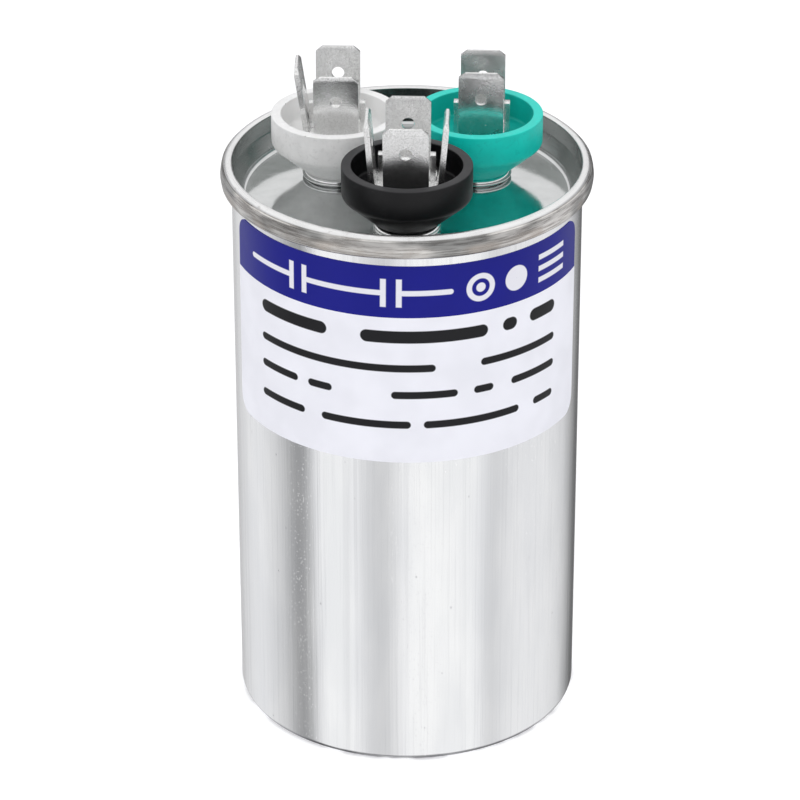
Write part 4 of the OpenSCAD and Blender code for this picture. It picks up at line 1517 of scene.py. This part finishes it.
def studio_world(name, soft_level):
    """White to the camera, even for diffuse rays, and soft boxes round the can in reflections."""
    world = bpy.data.worlds.new(name)
    world.use_nodes = True
    tree = world.node_tree
    tree.nodes.clear()
    nodes = Nodes(tree)
    x, y, z = nodes.axes(nodes.add("ShaderNodeTexCoord").outputs["Generated"])
    angle = nodes.math("ARCTAN2", x, nodes.times(y, -1.0))
    turned = nodes.ramp(angle, -math.pi, math.pi, 0.0, 1.0, smooth=False)
    ring = stops(nodes, turned, [
        ((azimuth + 180) / 360, linear(level) / ALBEDO) for azimuth, level in ROUND])
    raised = nodes.ramp(z, -1.0, 1.0, 0.0, 1.0, smooth=False)
    tiers = stops(nodes, raised, [
        ((math.sin(math.radians(height)) + 1) / 2, share) for height, share in UPRIGHT])
    overhead = nodes.mix(nodes.ramp(z, 0.12, 0.34), ring, (0.98, 0.98, 0.98, 1))
    sky = nodes.mix(1.0, overhead, tiers, "MULTIPLY")
    rays = nodes.add("ShaderNodeLightPath").outputs
    bounced = nodes.math("GREATER_THAN", rays["Diffuse Depth"], 0.5)
    gain = nodes.plus(nodes.times(bounced, 1.5), 1.0)
    lifted = nodes.mix(1.0, sky, gain, "MULTIPLY")
    even = (soft_level, soft_level, soft_level * 1.01, 1)
    light = nodes.mix(rays["Is Glossy Ray"], even, lifted)
    shown = nodes.mix(rays["Is Camera Ray"], light, (1, 1, 1, 1))
    shine = nodes.add("ShaderNodeBackground", {"Color": shown, "Strength": 1.0})
    out = nodes.add("ShaderNodeOutputWorld")
    tree.links.new(shine.outputs["Background"], out.inputs["Surface"])
    return world


def floor_finish(colour):
    """Pale floor: an even tone with a faint mottle, and a little glow for the camera alone."""

    def build(nodes, position):
        tone = nodes.mix(nodes.patches(position, 6, 2, 0.3, 0.7), dimmed(colour, 0.985), colour)
        seen = nodes.add("ShaderNodeLightPath").outputs["Is Camera Ray"]
        lit = nodes.mix(nodes.times(seen, 0.16), (0, 0, 0, 1), (1, 1, 1, 1))
        return {"Base Color": tone, "Emission Color": lit}

    return material("Pale floor", build, roughness=0.9, Emission_Strength=1.0)


class CAPACITOR_OT_studio(bpy.types.Operator):
    """Lays the pale floor and sets the soft lights, the world and the camera"""

    bl_idname = "capacitor.studio"
    bl_label = "Studio"

    def execute(self, context):
        studio = context.scene.capacitor_studio
        deselect()
        bpy.ops.mesh.primitive_plane_add(size=studio.floor, location=(0, 0, -0.02 * MM))
        floor = context.object
        floor.name = "pale_floor"
        fix_place()
        floor.data.materials.append(floor_finish(tuple(studio.floor_colour)))
        floor.visible_glossy = False

        context.scene.world = studio_world("Soft boxes", studio.soft_level)
        for name, (power, size, place) in LAMPS.items():
            deselect()
            bpy.ops.object.light_add(type="AREA", location=place)
            lamp = context.object
            lamp.name = name
            lamp.data.energy = power
            lamp.data.shape = "DISK"
            lamp.data.size = size
            lamp.visible_glossy = False
            lamp.rotation_euler = (AIM - Vector(place)).to_track_quat("-Z", "Y").to_euler()

        deselect()
        bpy.ops.object.camera_add(
            location=(0, -studio.distance, studio.height), rotation=(studio.tilt, 0, 0))
        camera = context.object
        camera.name = "front_camera"
        camera.data.lens = studio.lens
        camera.data.sensor_width = 36
        camera.data.shift_x = studio.shift
        camera.data.clip_start = 0.01
        context.scene.camera = camera
        context.scene.view_settings.view_transform = "Standard"
        return {"FINISHED"}


# ---------------------------------------------------------------- panel and run


class CAPACITOR_PT_pieces(bpy.types.Panel):
    """Lists the operators that model and dress the capacitor"""

    bl_label = "Motor Run Capacitor"
    bl_idname = "CAPACITOR_PT_pieces"
    bl_space_type = "VIEW_3D"
    bl_region_type = "UI"
    bl_category = "Capacitor"

    def draw(self, context):
        for step in STEPS:
            self.layout.operator("capacitor." + step)
        for name in SETTINGS:
            settings = getattr(context.scene, name)
            box = self.layout.box()
            for key in settings.__annotations__:
                box.prop(settings, key)


STEPS = ("studio", "can", "cover", "cups", "tabs", "label", "inside")
SETTINGS = {
    "capacitor_can": CanSizes,
    "capacitor_cup": CupSizes,
    "capacitor_tab": TabSizes,
    "capacitor_label": LabelSizes,
    "capacitor_colours": FinishColours,
    "capacitor_studio": StudioSettings,
}
CLASSES = list(SETTINGS.values()) + [
    CAPACITOR_OT_can, CAPACITOR_OT_cover, CAPACITOR_OT_cups, CAPACITOR_OT_tabs,
    CAPACITOR_OT_label, CAPACITOR_OT_inside, CAPACITOR_OT_studio, CAPACITOR_PT_pieces,
]


def register():
    """Registers the classes and the scene's settings."""
    for made in CLASSES:
        bpy.utils.register_class(made)
    for key, made in SETTINGS.items():
        setattr(bpy.types.Scene, key, PointerProperty(type=made))


def unregister():
    """Removes the settings and the classes."""
    for key in SETTINGS:
        delattr(bpy.types.Scene, key)
    for made in reversed(CLASSES):
        bpy.utils.unregister_class(made)


def main():
    """Models and dresses the capacitor."""
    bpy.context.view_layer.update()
    register()
    for step in STEPS:
        getattr(bpy.ops.capacitor, step)()


if __name__ == "__main__":
    main()
